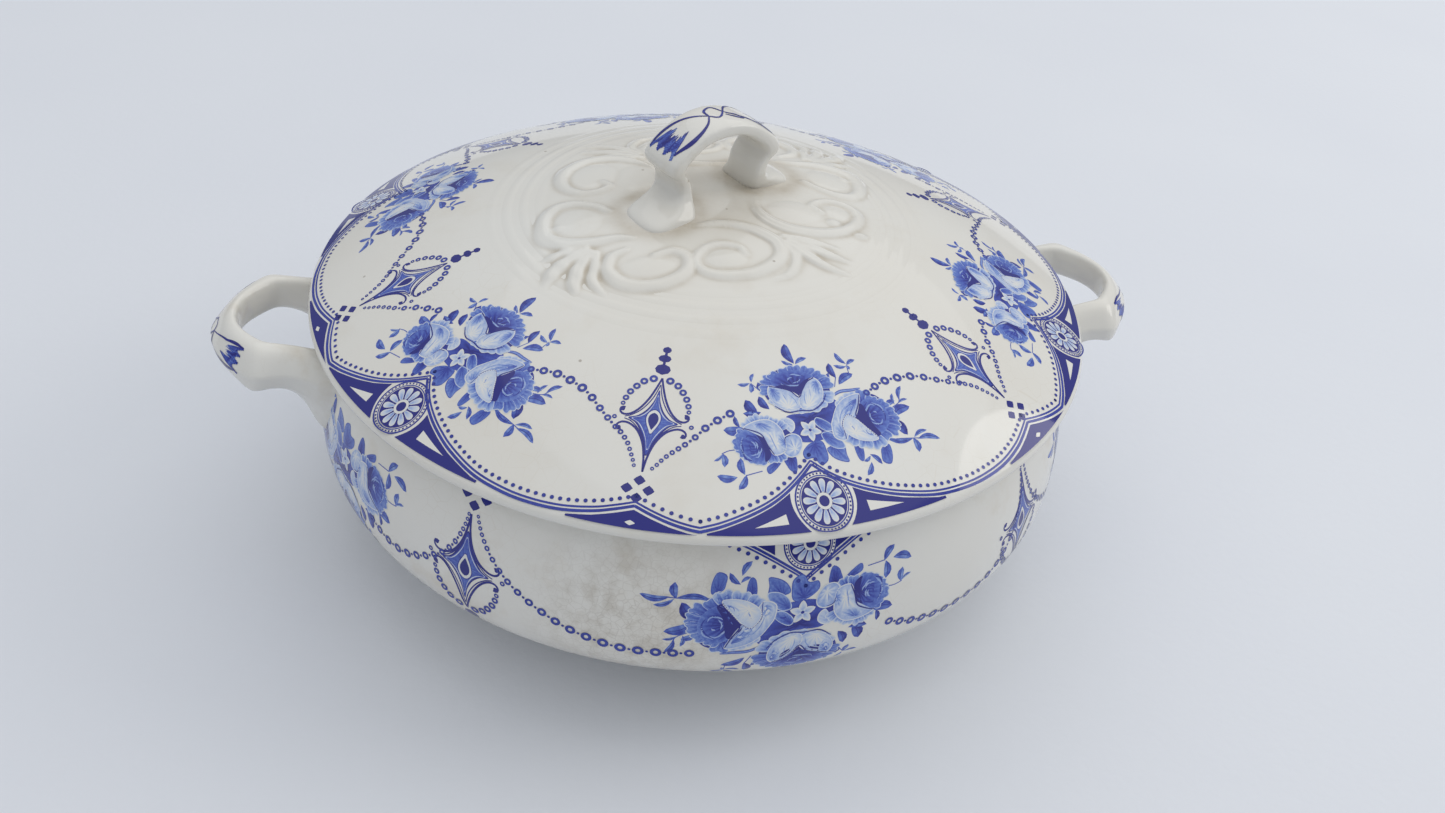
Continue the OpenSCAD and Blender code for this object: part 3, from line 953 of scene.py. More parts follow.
def without_slivers(points, faces):
    """The faces less any repeated corners, leaving out those with no area."""
    quads = np.array([f if len(f) == 4 else (*f, f[-1]) for f in faces])
    at = points[quads]
    repeated = np.abs(at - np.roll(at, 1, axis=1)).max(axis=2) < 1e-4
    across = at[:, 2] - at[:, 0]
    area = np.linalg.norm(np.cross(at[:, 1] - at[:, 0], across), axis=1)
    area += np.linalg.norm(np.cross(across, at[:, 3] - at[:, 0]), axis=1)
    good = (area > 1e-6) & (repeated.sum(axis=1) < 2)
    return [
        tuple(v for v, again in zip(quad, repeats) if not again)
        for quad, repeats in zip(quads[good].tolist(), repeated[good].tolist())
    ]


def print_piece(name, sheet, lays, body, ink=None):
    """One printed piece: the sheet laid at each place, with its faces turned outward."""
    points, normals, faces, inks, maps = sheet.sheets(lays)
    faces = without_slivers(points, faces)
    faces, (points, normals, inks, maps) = used_only(faces, points, normals, inks, maps)
    a, b, c = (points[[f[k] for f in faces]] for k in range(3))
    middle = normals[[f[0] for f in faces]]
    outward = np.einsum("ij,ij->i", np.cross(b - a, c - a), middle) > 0
    faces = [f if good else f[::-1] for f, good in zip(faces, outward)]
    corners = np.array([maps[v] for f in faces for v in f])
    piece = make_piece(name, points, faces, ink or print_ink, normals, {"ink": inks}, corners)
    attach(piece, body)
    return piece


def ruffle(sheet, centre, rx, ry, start, end, count, seed, inner, heart, edge):
    """A row of overlapping petals round part of a rose, each notched at its rim."""
    chance = np.random.RandomState(seed)
    step = (end - start) / count
    for k in range(count):
        a = start + step * (k + 0.5) + chance.uniform(-4, 4)
        far = chance.uniform(0.92, 1.08)
        half = abs(step) * 0.5 * chance.uniform(1.05, 1.3)

        def at(degrees, share):
            t = math.radians(degrees)
            return (centre[0] + rx * share * math.cos(t), centre[1] + ry * share * math.sin(t))

        low = inner + 0.35 * (far - inner)
        notch = far * chance.uniform(0.93, 0.99)
        rim = (
            (-0.7, inner), (-1, low), (-0.95, far * 0.93), (-0.45, far * 1.02), (-0.05, notch),
            (0.5, far * 1.03), (0.95, far * 0.92), (1, low), (0.7, inner),
        )
        outline = [at(a + half * turn, share) for turn, share in rim]
        sheet.petal(
            outline, at(a, inner * 1.02), heart, edge, 0.10, rows=4, hatch=0.20, waves=7 + k % 3, wide=0.22,
        )
        sheet.level += 0.12


def whorl(sheet, centre, rx, ry, seed, arcs):
    """Curved strokes wound round a rose's heart, dark in its folds and pale on its rims."""
    chance = np.random.RandomState(seed)
    for k in range(arcs):
        share = 0.16 + 0.80 * (k + 0.5) / arcs
        start = math.radians(chance.uniform(0, 360))
        sweep = math.radians(chance.uniform(60, 125))
        a = start + sweep * np.linspace(0, 1, 6)
        wobble = 1 + 0.06 * np.sin(np.linspace(0, 3 * math.pi, 6) + k)
        far_x, far_y = rx * share * wobble, ry * share * wobble
        knots = np.column_stack([centre[0] + far_x * np.cos(a), centre[1] + far_y * np.sin(a)])
        sheet.line(knots, 0.42, 0.80 if k % 2 == 0 else 0.30, step=0.6, taper=0.85)


def both_edges(half):
    """A shape along u that is the same on both sides of its middle line, from one side's points."""
    return half + [(u, -v) for u, v in half[-2::-1]]


def mirrored(half):
    """A shape that is the same left and right, from its right side's points."""
    return half + [(-x, y) for x, y in half[-2:0:-1]]


def turned(shape, x, y, c, s):
    """A shape set at a place and turned by an angle's cosine and sine."""
    return [(x + u * c - v * s, y + u * s + v * c) for u, v in shape]


# The bouquet: three roses round a small star flower, with leaves and sprigs.
bouquet = Transfer()


def top_rose(sheet):
    sheet.petal(
        [
            (-8.6, 81.6), (-6, 79.0), (-2, 77.8), (2, 77.9), (6, 79.2), (9.0, 81.6), (9.4, 85), (8.2, 88.4),
            (3.5, 90.9), (-1, 90.8), (-5.4, 89.4), (-8.4, 86),
        ],
        (0, 84), 0.93, 0.85, rows=8, hatch=0.08,
    )
    sheet.level += 0.3
    ruffle(sheet, (0.3, 84.6), 9.9, 7.6, 178, 362, 8, 3, inner=0.42, heart=0.85, edge=0.40)
    ruffle(sheet, (0.6, 85.2), 9.4, 6.6, 10, 170, 5, 5, inner=0.5, heart=0.74, edge=0.14)
    sheet.petal(
        [
            (-6.2, 81.4), (-4.4, 79.4), (-1.4, 78.6), (1.8, 78.7), (4.6, 79.8), (6.0, 81.8), (3.6, 84.0),
            (0.2, 85.4), (-3.6, 84.4),
        ],
        (0, 84.0), 0.98, 0.50, rows=6, hatch=0.20, waves=13, fade=1.6,
    )
    sheet.level += 0.3
    whorl(sheet, (0, 81.4), 4.6, 2.3, 11, 9)
    sheet.level += 0.3
    sheet.petal(
        [
            (-6.0, 83.2), (-3.4, 82.6), (-1.4, 83.2), (0, 84.2), (1.6, 83.0), (3.6, 81.8), (5.4, 81.6),
            (4.4, 84.4), (1.2, 88), (-1.6, 87.8), (-5.0, 85.6),
        ],
        (0, 85.4), 0.99, 0.96, rows=4, hatch=0.02,
    )
    sheet.level += 0.4
    sheet.petal(
        [
            (-6.9, 82.4), (-4.3, 83.3), (-1.6, 84.6), (0.3, 86.4), (0.7, 88.6), (-0.6, 90.0), (-3.8, 90.2),
            (-6.6, 88.2), (-7.9, 85.2),
        ],
        (-3.4, 89.4), 0.02, 0.26, 0.05, rows=6, hatch=0.07, waves=9, fade=1.3,
    )
    sheet.petal(
        [
            (0.1, 87.0), (1.7, 84.8), (3.7, 82.5), (5.9, 81.4), (7.4, 83.4), (7.2, 86.6), (5.4, 89.2),
            (2.6, 90.5), (0.2, 90.2), (-0.3, 88.4),
        ],
        (2.0, 89.6), 0.02, 0.26, 0.05, rows=6, hatch=0.07, waves=9, fade=1.3,
    )
    sheet.level += 0.2
    sheet.petal(
        [(-7.0, 83.0), (-4.8, 83.7), (-4.6, 85.6), (-5.8, 87.4), (-7.3, 85.6)], (-6.4, 83.6), 0.62, 0.20,
        rows=3, hatch=0.2,
    )
    sheet.petal(
        [(4.6, 82.9), (6.2, 82.2), (6.9, 84.4), (6.0, 87.2), (4.6, 85.6)], (6.4, 83.0), 0.60, 0.18, rows=3,
        hatch=0.2,
    )
    for knots in (
        [(-2.4, 85.6), (-1.2, 87.2), (-0.8, 89.0)], [(-3.9, 85.2), (-3.4, 87.2)],
        [(2.2, 85.4), (1.6, 87.2), (1.5, 89.0)], [(3.8, 84.8), (3.4, 87.0)],
    ):
        sheet.line(knots, 0.3, 0.30, taper=0.85)
    sheet.line(
        [(-6.9, 82.5), (-4.3, 83.4), (-1.6, 84.7), (0.2, 86.8), (1.7, 84.9), (3.7, 82.6), (5.9, 81.5)],
        0.32, 0.98, step=0.6,
    )
    sheet.line(
        [(-7.0, 88.4), (-4.0, 90.6), (-0.4, 90.6), (2.8, 90.9), (6.0, 89.2), (7.8, 86.8)], 0.34, 0.92,
        step=0.6, taper=0.4,
    )


def right_rose(sheet):
    sheet.petal(
        [
            (8.6, 91.4), (12.0, 88.6), (17.0, 87.4), (21.6, 88.0), (24.4, 92.0), (24.4, 96.4), (21.2, 99.8),
            (16.6, 101.6), (11.8, 100.8), (8.0, 98.6), (7.4, 95.0),
        ],
        (15.6, 95), 0.93, 0.84, rows=8, hatch=0.08,
    )
    sheet.level += 0.3
    ruffle(sheet, (16.4, 94.4), 9.4, 7.9, -92, 92, 8, 8, inner=0.45, heart=0.84, edge=0.38)
    ruffle(sheet, (15.8, 95.0), 9.0, 8.2, 60, 150, 3, 9, inner=0.5, heart=0.80, edge=0.18)
    ruffle(sheet, (15.6, 94.6), 8.8, 8.4, 215, 275, 2, 10, inner=0.5, heart=0.70, edge=0.14)
    sheet.petal(
        [
            (16.2, 90.6), (18.8, 88.8), (21.8, 89.8), (23.4, 92.6), (23.1, 95.8), (20.9, 98.4),
            (18.4, 99.0), (16.6, 96.0), (15.4, 93.0),
        ],
        (16.6, 94.4), 0.99, 0.46, rows=6, hatch=0.20, waves=14, fade=1.2,
    )
    sheet.level += 0.3
    whorl(sheet, (19.6, 93.9), 3.6, 4.4, 21, 11)
    sheet.level += 0.3
    sheet.petal(
        [
            (15.0, 90.6), (16.9, 90.4), (17.6, 93.4), (18.2, 96.2), (19.6, 99.0), (17.4, 99.4),
            (14.6, 96.4), (13.6, 93.6),
        ],
        (15.6, 94.0), 0.99, 0.96, rows=4, hatch=0.02,
    )
    sheet.level += 0.4
    sheet.petal(
        [
            (7.5, 93.6), (9.8, 90.2), (13.0, 88.0), (17.2, 87.3), (16.0, 90.6), (14.4, 93.4), (11.6, 96.4),
            (9.4, 100.0), (6.4, 99.0), (6.5, 95.6),
        ],
        (8.8, 97.6), 0.04, 0.28, 0.05, rows=6, hatch=0.10, waves=11, fade=1.2,
    )
    sheet.level += 0.2
    sheet.petal(
        [(10.6, 92.0), (13.4, 89.5), (15.8, 88.7), (14.8, 91.4), (12.4, 93.8), (10.4, 95.0)], (15.8, 88.9),
        0.68, 0.18, rows=4, hatch=0.22, waves=7,
    )
    sheet.petal(
        [(7.2, 96.0), (8.8, 95.0), (9.6, 97.2), (8.4, 99.2), (7.0, 98.4)], (9.2, 98.8), 0.55, 0.14, rows=3,
        hatch=0.16,
    )
    sheet.level += 0.2
    sheet.petal(
        [
            (9.8, 95.2), (11.8, 93.0), (13.8, 94.2), (16.2, 97.0), (18.6, 100.2), (15.4, 100.8),
            (12.0, 99.8), (9.7, 97.6),
        ],
        (12.4, 98.2), 0.01, 0.18, 0.05, rows=5, hatch=0.05, waves=8, fade=1.4,
    )
    sheet.petal(
        [(13.6, 95.4), (15.8, 97.2), (17.6, 99.6), (15.4, 98.8), (13.8, 97.2)], (16.8, 98.9), 0.55, 0.12,
        rows=3, hatch=0.14,
    )
    for knots in (
        [(12.0, 90.6), (10.0, 93.0), (8.8, 96.0)], [(13.8, 90.4), (12.2, 92.4)],
        [(11.8, 95.6), (12.8, 98.0)],
    ):
        sheet.line(knots, 0.3, 0.34, taper=0.85)
    sheet.line(
        [(17.1, 87.6), (15.8, 90.6), (14.2, 93.7), (16.2, 96.9), (18.6, 100.1)], 0.34, 0.98, step=0.6,
        taper=0.3,
    )
    sheet.line(
        [(9.5, 99.8), (9.6, 97.4), (9.7, 95.4), (11.8, 93.1), (13.9, 94.3)], 0.26, 0.85, step=0.6,
        taper=0.4,
    )
    sheet.line(
        [(9.0, 87.7), (12.0, 86.3), (15.4, 86.1), (18.0, 85.7)], 0.9, 0.30, step=0.6, taper=0.7, edge=0.75,
    )


def left_rose(sheet):
    sheet.petal(
        [
            (-18.8, 95), (-16.4, 92.6), (-11.6, 91.6), (-7.6, 92.4), (-5.6, 95.4), (-4.0, 98.0),
            (-4.8, 101.2), (-8.6, 102.6), (-13.6, 102.8), (-17.6, 100.6),
        ],
        (-12, 97), 0.93, 0.85, rows=8, hatch=0.08,
    )
    sheet.level += 0.3
    ruffle(sheet, (-12.6, 97.0), 7.7, 6.9, 95, 250, 6, 13, inner=0.5, heart=0.84, edge=0.40)
    ruffle(sheet, (-11.8, 96.8), 7.6, 6.8, 225, 335, 5, 14, inner=0.5, heart=0.72, edge=0.14)
    ruffle(sheet, (-11.0, 97.4), 6.6, 6.2, 35, 110, 3, 15, inner=0.5, heart=0.80, edge=0.28)
    sheet.petal(
        [
            (-19.4, 95.2), (-17.0, 93.4), (-14.2, 93.6), (-12.4, 96.0), (-11.8, 99.2), (-13.2, 102.4),
            (-15.6, 102.8), (-18.4, 101.0), (-19.6, 98.0),
        ],
        (-12.8, 99.0), 0.99, 0.44, rows=7, hatch=0.20, waves=15, fade=0.9,
    )
    sheet.level += 0.3
    whorl(sheet, (-15.9, 98.0), 3.3, 4.4, 31, 11)
    sheet.level += 0.3
    sheet.petal(
        [
            (-14.4, 94.4), (-12.6, 95.4), (-11.6, 98.6), (-11.8, 101.4), (-13.6, 102.6), (-13.0, 99.4),
            (-13.6, 96.4),
        ],
        (-12.4, 99.0), 0.99, 0.95, rows=3, hatch=0.02,
    )
    sheet.level += 0.4
    sheet.petal(
        [
            (-17.0, 92.8), (-13.4, 91.5), (-9.6, 91.8), (-7.2, 94.4), (-6.8, 97.6), (-7.6, 100.8),
            (-10.8, 101.4), (-11.9, 98.4), (-12.6, 95.5), (-14.4, 94.1),
        ],
        (-9.6, 98.4), 0.02, 0.26, 0.05, rows=6, hatch=0.08, waves=10, fade=1.2,
    )
    sheet.petal(
        [
            (-6.9, 97.0), (-4.6, 96.4), (-2.8, 97.5), (-2.8, 99.9), (-4.5, 102.2), (-7.1, 102.5),
            (-8.4, 100.6), (-7.2, 99.0),
        ],
        (-5.0, 100.6), 0.04, 0.30, 0.06, rows=4, hatch=0.12, waves=8,
    )
    sheet.level += 0.2
    sheet.petal(
        [(-14.0, 92.5), (-10.6, 92.7), (-8.8, 94.8), (-11.0, 95.2), (-12.9, 94.4)], (-12.6, 92.3), 0.60,
        0.14, rows=4, hatch=0.2,
    )
    sheet.petal(
        [(-7.4, 95.4), (-6.9, 97.8), (-7.6, 100.4), (-8.8, 98.6), (-8.6, 96.2)], (-7.2, 98.8), 0.50, 0.12,
        rows=3, hatch=0.16,
    )
    for knots in ([(-10.6, 95.6), (-10.2, 98.0), (-9.8, 100.2)], [(-5.6, 97.8), (-5.4, 100.0)]):
        sheet.line(knots, 0.3, 0.30, taper=0.85)
    sheet.line(
        [(-16.8, 93.0), (-14.4, 94.2), (-12.6, 95.6), (-11.8, 98.6), (-10.8, 101.2)], 0.34, 0.98, step=0.6,
        taper=0.3,
    )
    sheet.line([(-7.2, 99.0), (-6.8, 97.3), (-5.2, 96.8)], 0.26, 0.9, step=0.5, taper=0.4)


def star_ground(sheet):
    sheet.petal(
        [
            (-4.6, 91.6), (-0.5, 91.4), (2.5, 91.4), (6.0, 90.0), (9.6, 88.4), (10.0, 90.6), (8.2, 92.8),
            (7.4, 96.0), (5.4, 98.4), (2.6, 99.2), (-0.5, 99.4), (-3.2, 98.8), (-3.8, 97.4), (-6.2, 94.6),
        ],
        (1.0, 93), 0.98, 0.66, rows=7, hatch=0.12,
    )
    sheet.level += 0.5
    sheet.petal(
        [(2.2, 94.6), (3.2, 92.9), (6.0, 94.6), (7.2, 96.8), (4.6, 97.0)], (3.0, 93.6), 0.78, 0.34, 0.14,
        rows=3,
    )
    sheet.petal(
        [(3.0, 97.6), (5.4, 97.2), (7.8, 99.4), (8.6, 101.8), (6.0, 101.9), (3.8, 100.2)], (3.6, 97.8),
        0.72, 0.34, 0.14, rows=3,
    )
    sheet.petal(
        [(-6.6, 92.0), (-4.6, 92.0), (-3.2, 93.4), (-3.6, 95.4), (-5.2, 96.2), (-6.4, 94.0)], (-6.0, 93.0),
        0.30, 0.10, 0.04, rows=3,
    )


STAR_X, STAR_Y = 0.4, 96.2
STAR_PETAL = both_edges([(0.1, 0.25), (1.1, 0.95), (2.2, 0.72), (3.1, 0.0)])


def star_flower(sheet):
    for k in range(5):
        a = math.radians(72 * k + 18)
        c, s = math.cos(a), math.sin(a)
        heart_at = (STAR_X + 0.7 * c, STAR_Y + 0.7 * s)
        sheet.petal(turned(STAR_PETAL, STAR_X, STAR_Y, c, s), heart_at, 0.28, 0.01, rows=3, hatch=0.04)
    sheet.level += 0.3
    sheet.dot(STAR_X, STAR_Y, 0.42, 0.85)


def leaves(sheet):
    for tip, root, width, dark, light in (
        ((1.2, 70.0), (2.0, 76.6), 2.7, 0.88, 0.55), ((-1.3, 75.2), (1.6, 76.8), 1.1, 0.6, 0.4),
        ((6.0, 75.2), (2.2, 76.8), 1.4, 0.62, 0.42), ((0.6, 78.3), (0.8, 76.4), 1.3, 0.66, 0.4),
        ((-9.8, 78.0), (-11.2, 80.6), 1.0, 0.6, 0.4), ((-15.0, 80.5), (-11.6, 80.7), 1.1, 0.6, 0.4),
        ((-12.1, 83.6), (-11.6, 80.8), 1.4, 0.66, 0.4),
        ((-14.2, 85.3), (-12.0, 89.6), 2.8, 0.95, 0.62), ((-10.4, 84.9), (-8.6, 89.0), 2.2, 0.92, 0.6),
        ((-9.5, 80.8), (-8.3, 84.2), 1.8, 0.85, 0.55), ((-15.8, 88.9), (-11.0, 89.4), 1.8, 0.85, 0.5),
        ((-22.0, 92.4), (-16.8, 92.8), 2.6, 0.72, 0.5), ((-18.2, 89.2), (-17.6, 92.6), 1.3, 0.9, 0.6),
        ((-26.5, 99.8), (-23.6, 98.4), 0.8, 0.5, 0.35), ((-24.2, 101.9), (-23.8, 98.3), 1.8, 0.6, 0.4),
        ((-26.6, 103.6), (-21.6, 105.0), 2.0, 0.66, 0.45), ((-19.6, 100.4), (-19.6, 104.8), 2.0, 0.66, 0.42),
        ((-22.1, 108.0), (-19.2, 104.8), 1.8, 0.66, 0.42),
        ((11.6, 77.4), (12.3, 82.2), 2.1, 0.92, 0.6), ((17.4, 81.2), (12.4, 84.2), 2.3, 0.75, 0.5),
        ((14.4, 74.2), (16.6, 78.0), 1.5, 0.66, 0.45), ((12.8, 78.2), (16.4, 78.8), 1.2, 0.62, 0.42),
        ((19.6, 76.8), (16.6, 78.4), 1.2, 0.66, 0.42), ((17.0, 79.9), (16.4, 78.4), 0.9, 0.6, 0.4),
        ((10.6, 80.4), (9.8, 83.6), 1.3, 0.8, 0.5),
        ((30.2, 85.4), (28.2, 89.6), 1.3, 0.66, 0.45), ((26.8, 87.6), (26.4, 91.0), 1.0, 0.6, 0.42),
        ((30.8, 89.4), (27.6, 90.6), 0.8, 0.6, 0.4), ((30.6, 91.6), (24.4, 94.6), 2.6, 0.74, 0.5),
        ((26.8, 89.8), (23.6, 91.6), 1.6, 0.7, 0.45), ((27.2, 99.6), (23.4, 95.2), 2.9, 0.95, 0.66),
        ((20.6, 100.2), (28.4, 100.6), 1.3, 0.66, 0.5), ((28.9, 104.4), (28.4, 100.4), 2.0, 0.66, 0.45),
        ((33.3, 98.4), (28.8, 100.4), 1.1, 0.6, 0.4), ((36.4, 100.8), (29.8, 100.8), 1.6, 0.62, 0.42),
    ):
        sheet.leaf(tip, root, width, dark, light)
    sheet.level += 0.6
    for knots in (
        [(-11.4, 80.8), (-9.6, 83.4)], [(12.2, 82.0), (11.0, 84.8)], [(16.5, 79.0), (16.4, 81.6)],
        [(-19.8, 98.2), (-22.0, 98.0), (-24.0, 98.4)], [(-15.0, 104.7), (-19.4, 105.0)],
        [(25.0, 92.0), (27.8, 90.4), (28.6, 88.6)], [(19.6, 101.0), (24.0, 100.6), (30.4, 100.6)],
    ):
        sheet.line(knots, 0.24, 0.62, step=0.8)
    sheet.level += 1
    for outline, base, heart, edge in (
        (
            [(-8.6, 102.8), (-5.6, 102.4), (-5.6, 104.6), (-6.4, 106.5), (-7.8, 105.8), (-8.4, 104.4)],
            (-6.8, 102.4), 0.95, 0.55,
        ),
        (
            [
                (-3.2, 101.6), (-0.6, 99.6), (2.6, 99.4), (3.2, 102.2), (2.8, 104.6), (0.6, 105.6),
                (-0.8, 103.6), (-3.0, 103.6),
            ],
            (0.4, 100.0), 0.80, 0.46,
        ),
        (
            [
                (3.4, 101.6), (5.8, 100.8), (8.4, 100.6), (8.3, 103.6), (8.4, 105.6), (5.8, 105.0),
                (4.0, 103.6),
            ],
            (5.2, 101.0), 0.76, 0.40,
        ),
        (
            [(11.0, 101.6), (13.0, 101.6), (13.2, 103.6), (12.4, 105.8), (11.2, 105.0)], (12.0, 101.8),
            0.80, 0.55,
        ),
        (
            [(18.4, 102.8), (20.8, 101.8), (21.0, 104.4), (19.8, 107.0), (17.7, 106.4), (17.8, 104.4)],
            (19.6, 102.2), 0.76, 0.48,
        ),
        (
            [(-13.6, 104.0), (-10.6, 102.8), (-9.4, 103.2), (-11.2, 104.8), (-13.4, 105.8)], (-10.6, 103.2),
            0.82, 0.50,
        ),
    ):
        sheet.petal(outline, base, heart, edge, 0.62, rows=3, hatch=0.14)
    sheet.leaf((17.2, 107.0), (14.6, 104.2), 1.4, 0.7, 0.5)
    sheet.leaf((12.2, 109.5), (14.4, 106.2), 1.5, 0.66, 0.45)
    sheet.leaf((12.4, 105.9), (14.6, 104.6), 0.9, 0.6, 0.45)


BOUQUET_PARTS = (
    (0, leaves), (3, star_ground), (4, left_rose), (4.3, right_rose), (7.5, top_rose), (12, star_flower),
)
for level, draw_part in BOUQUET_PARTS:
    bouquet.level = level
    draw_part(bouquet)

# Where the sheets lie, in degrees round the pot from its right side handle.
LID_BOUQUETS = [274.8 + 60 * k for k in range(6)]
LID_DROPS = [250.1 + 60 * k for k in range(6)]
BOWL_BOUQUETS = [272.4, 342.0, 18.0, 92.4, 162.0, 202.0]
BOWL_DROPS = [228.6, 311.3, 48.6, 131.3]
print_piece("lid_rose_print", bouquet, [on_lid(a) for a in LID_BOUQUETS], "lid_body")
for name, places in (
    ("bowl_rose_print_front", [BOWL_BOUQUETS[k] for k in (0, 1, 5)]),
    ("bowl_rose_print_back", BOWL_BOUQUETS[2:5]),
):
    print_piece(name, bouquet, [on_bowl(a) for a in places], "bowl_body")


# ---------------------------------------------------------------- borders and drops
BORDER_R = 118.0
LINE_PAIR, LINE_INK = ((-0.55, 0.50), (0.42, 0.72)), 0.80


def degrees_out(knots):
    """Knots given in degrees round the pot, as sheet x at the border's radius."""
    return [(math.radians(k[0]) * BORDER_R, *k[1:]) for k in knots]


def on_lid_edge(azimuth):
    """Lays a border sheet on the lid: sheet x runs along its edge and y out from its axis."""
    def lay(x, y, lift):
        a = math.radians(azimuth) + x / BORDER_R
        return on_dome(y * np.cos(a), y * np.sin(a), np.minimum(y, LID_BORDER_R), lift)

    return lay


def on_bowl_edge(azimuth):
    """Lays a border sheet on the bowl: minus y is the distance down from its rim."""
    def lay(x, y, lift):
        return on_side(azimuth - np.degrees(x / BORDER_R), -y, lift)

    return lay


def double_line(sheet, knots):
    """The two fine lines that edge the border, one each side of the knots."""
    knots = np.asarray(knots, dtype=float)
    for shift, width in LINE_PAIR:
        sheet.line(knots + (0, shift), width, LINE_INK, step=0.9)


POINT_LEFT = [
    (-16.4, 120.0), (-13.7, 118.5), (-9.95, 115.7), (-7.4, 113.4), (-5.2, 110.8), (-3.0, 107.6),
    (-1.1, 104.6),
]
POINT_RIGHT = [
    (-1.1, 104.6), (0.9, 107.8), (2.7, 110.1), (5.1, 112.5), (7.4, 114.4), (9.9, 116.2), (14.6, 118.8),
    (19.0, 119.9), (22.6, 120.15),
]
DROP_LEFT = [(22.6, 120.15), (26.7, 119.7), (30.5, 118.4), (32.9, 117.1), (35.5, 115.5)]
DROP_RIGHT = [(35.5, 115.5), (37.7, 117.1), (40.1, 118.6), (42.3, 119.6), (43.6, 120.0)]

border = Transfer()
for knots in (POINT_LEFT, POINT_RIGHT + DROP_LEFT[1:], DROP_RIGHT):
    double_line(border, degrees_out(knots))


def ground(sheet, knots, low, start, end):
    """The dark ground under a stretch of the double line, down to the plain rim band."""
    table = np.array(knots)
    spans = np.linspace(start, end, 22)
    top = np.interp(spans, table[:, 0], table[:, 1]) + 1.35
    top = np.minimum(top, low - 0.05)
    sheet.patch(degrees_out(list(zip(spans, top))), degrees_out([(a, low) for a in spans]), INK_FULL, rows=8)


MEDAL_X, MEDAL_Y, MEDAL_GAP = -1.3, 114.3, 8.6


def ground_by_medal(sheet, knots, low, far, side):
    """Dark ground that runs from a far point up to the medallion and follows its round edge."""
    table = np.array(knots)
    rows, cols = 9, 26
    grid = np.zeros((rows, cols, 2))
    for k in range(rows):
        v = k / (rows - 1)
        for i in range(cols):
            t = i / (cols - 1)
            y_near = 112.2 + (low - 112.2) * v
            reach = math.sqrt(max(MEDAL_GAP ** 2 - (y_near - MEDAL_Y) ** 2, 1.0))
            near = math.degrees((MEDAL_X + side * reach) / y_near)
            a = far + (near - far) * t
            top = min(float(np.interp(a, table[:, 0], table[:, 1])) + 1.15, low - 0.04)
            grid[k, i] = (math.radians(a) * BORDER_R, top + (low - top) * v)
    sheet.lay_grid(grid[:, ::-1] if side > 0 else grid, np.full((rows, cols), INK_FULL))


ground_by_medal(border, POINT_LEFT, 121.1, -15.6, -1)
ground_by_medal(border, POINT_RIGHT, 120.8, 15.6, 1)
ground(border, DROP_LEFT, 121.2, 27.6, 35.5)
ground(border, DROP_RIGHT, 121.2, 35.5, 43.2)
border.level = 3
for knots in ([(-9.9, 119.4), (-5.9, 116.5), (-5.7, 118.9)], [(4.9, 115.8), (9.7, 118.5), (4.9, 118.4)]):
    a, b, c = (np.array(k) for k in degrees_out(knots))
    t = np.linspace(0, 1, 8)[:, None]
    sides = [a + (b - a) * t, a + ((b + c) / 2 - a) * t, a + (c - a) * t]
    border.lay_grid(np.stack(sides, axis=1), np.zeros((8, 3)))
border.diamond(math.radians(35.3) * BORDER_R, 119.9, 2.6, 1.2, 0.0, 0.1)


# How far the dots lie in from the border's line, and how far apart.
DOT_INSET, DOT_SPACING = 2.0, 2.1


def dotted(knots):
    """Even points along a line, set in from it."""
    knots = np.asarray(knots, dtype=float) - (0, DOT_INSET)
    length = np.hypot(*np.diff(knots, axis=0).T).sum()
    return smooth_line(knots, int((length - 1.2) / DOT_SPACING) + 1)


medal = Transfer()
medal.ring(MEDAL_X, MEDAL_Y, 7.65, 7.20, 0.85)
medal.ring(MEDAL_X, MEDAL_Y, 6.45, 6.15, 0.80)
for k in range(44):
    a = 2 * math.pi * k / 44
    medal.dot(MEDAL_X + 6.85 * math.cos(a), MEDAL_Y + 6.85 * math.sin(a), 0.27, 0.95, 6)
medal.ring(MEDAL_X, MEDAL_Y, 5.95, 1.0, 0.95)
medal.level = 2
MEDAL_PETAL = both_edges([(2.15, 0.30), (3.4, 0.68), (4.7, 0.86), (5.45, 0.45), (5.55, 0)])
for k in range(12):
    a = math.radians(30 * k + 8)
    c, s = math.cos(a), math.sin(a)
    heart_at = (MEDAL_X + 2.3 * c, MEDAL_Y + 2.3 * s)
    medal.petal(turned(MEDAL_PETAL, MEDAL_X, MEDAL_Y, c, s), heart_at, 0.35, 0.02, rows=3, hatch=0.0)
medal.level = 4
medal.ring(MEDAL_X, MEDAL_Y, 2.05, 1.35, 0.02)
medal.dot(MEDAL_X, MEDAL_Y, 1.25, 0.97, 20)
medal.level = 5
medal.ring(MEDAL_X + 0.2, MEDAL_Y - 9.0, 0.62, 0.30, 0.85, sides=14)

drop = Transfer()
for x, y, wide, tall in ((0.1, 72.7, 2.4, 2.2), (0.0, 75.5, 3.5, 2.5), (0.1, 78.9, 4.2, 3.4)):
    drop.diamond(x, y, wide, tall, 0.97, 0.5)
drop.line([(0.1, 72), (0.1, 80.4)], 0.7, 0.97)
for x, y in ((0.3, 109.7), (-2.5, 111.9), (3.0, 111.9), (0.3, 114.0)):
    drop.diamond(x, y, 3.1, 2.5, 0.97, 0.15)
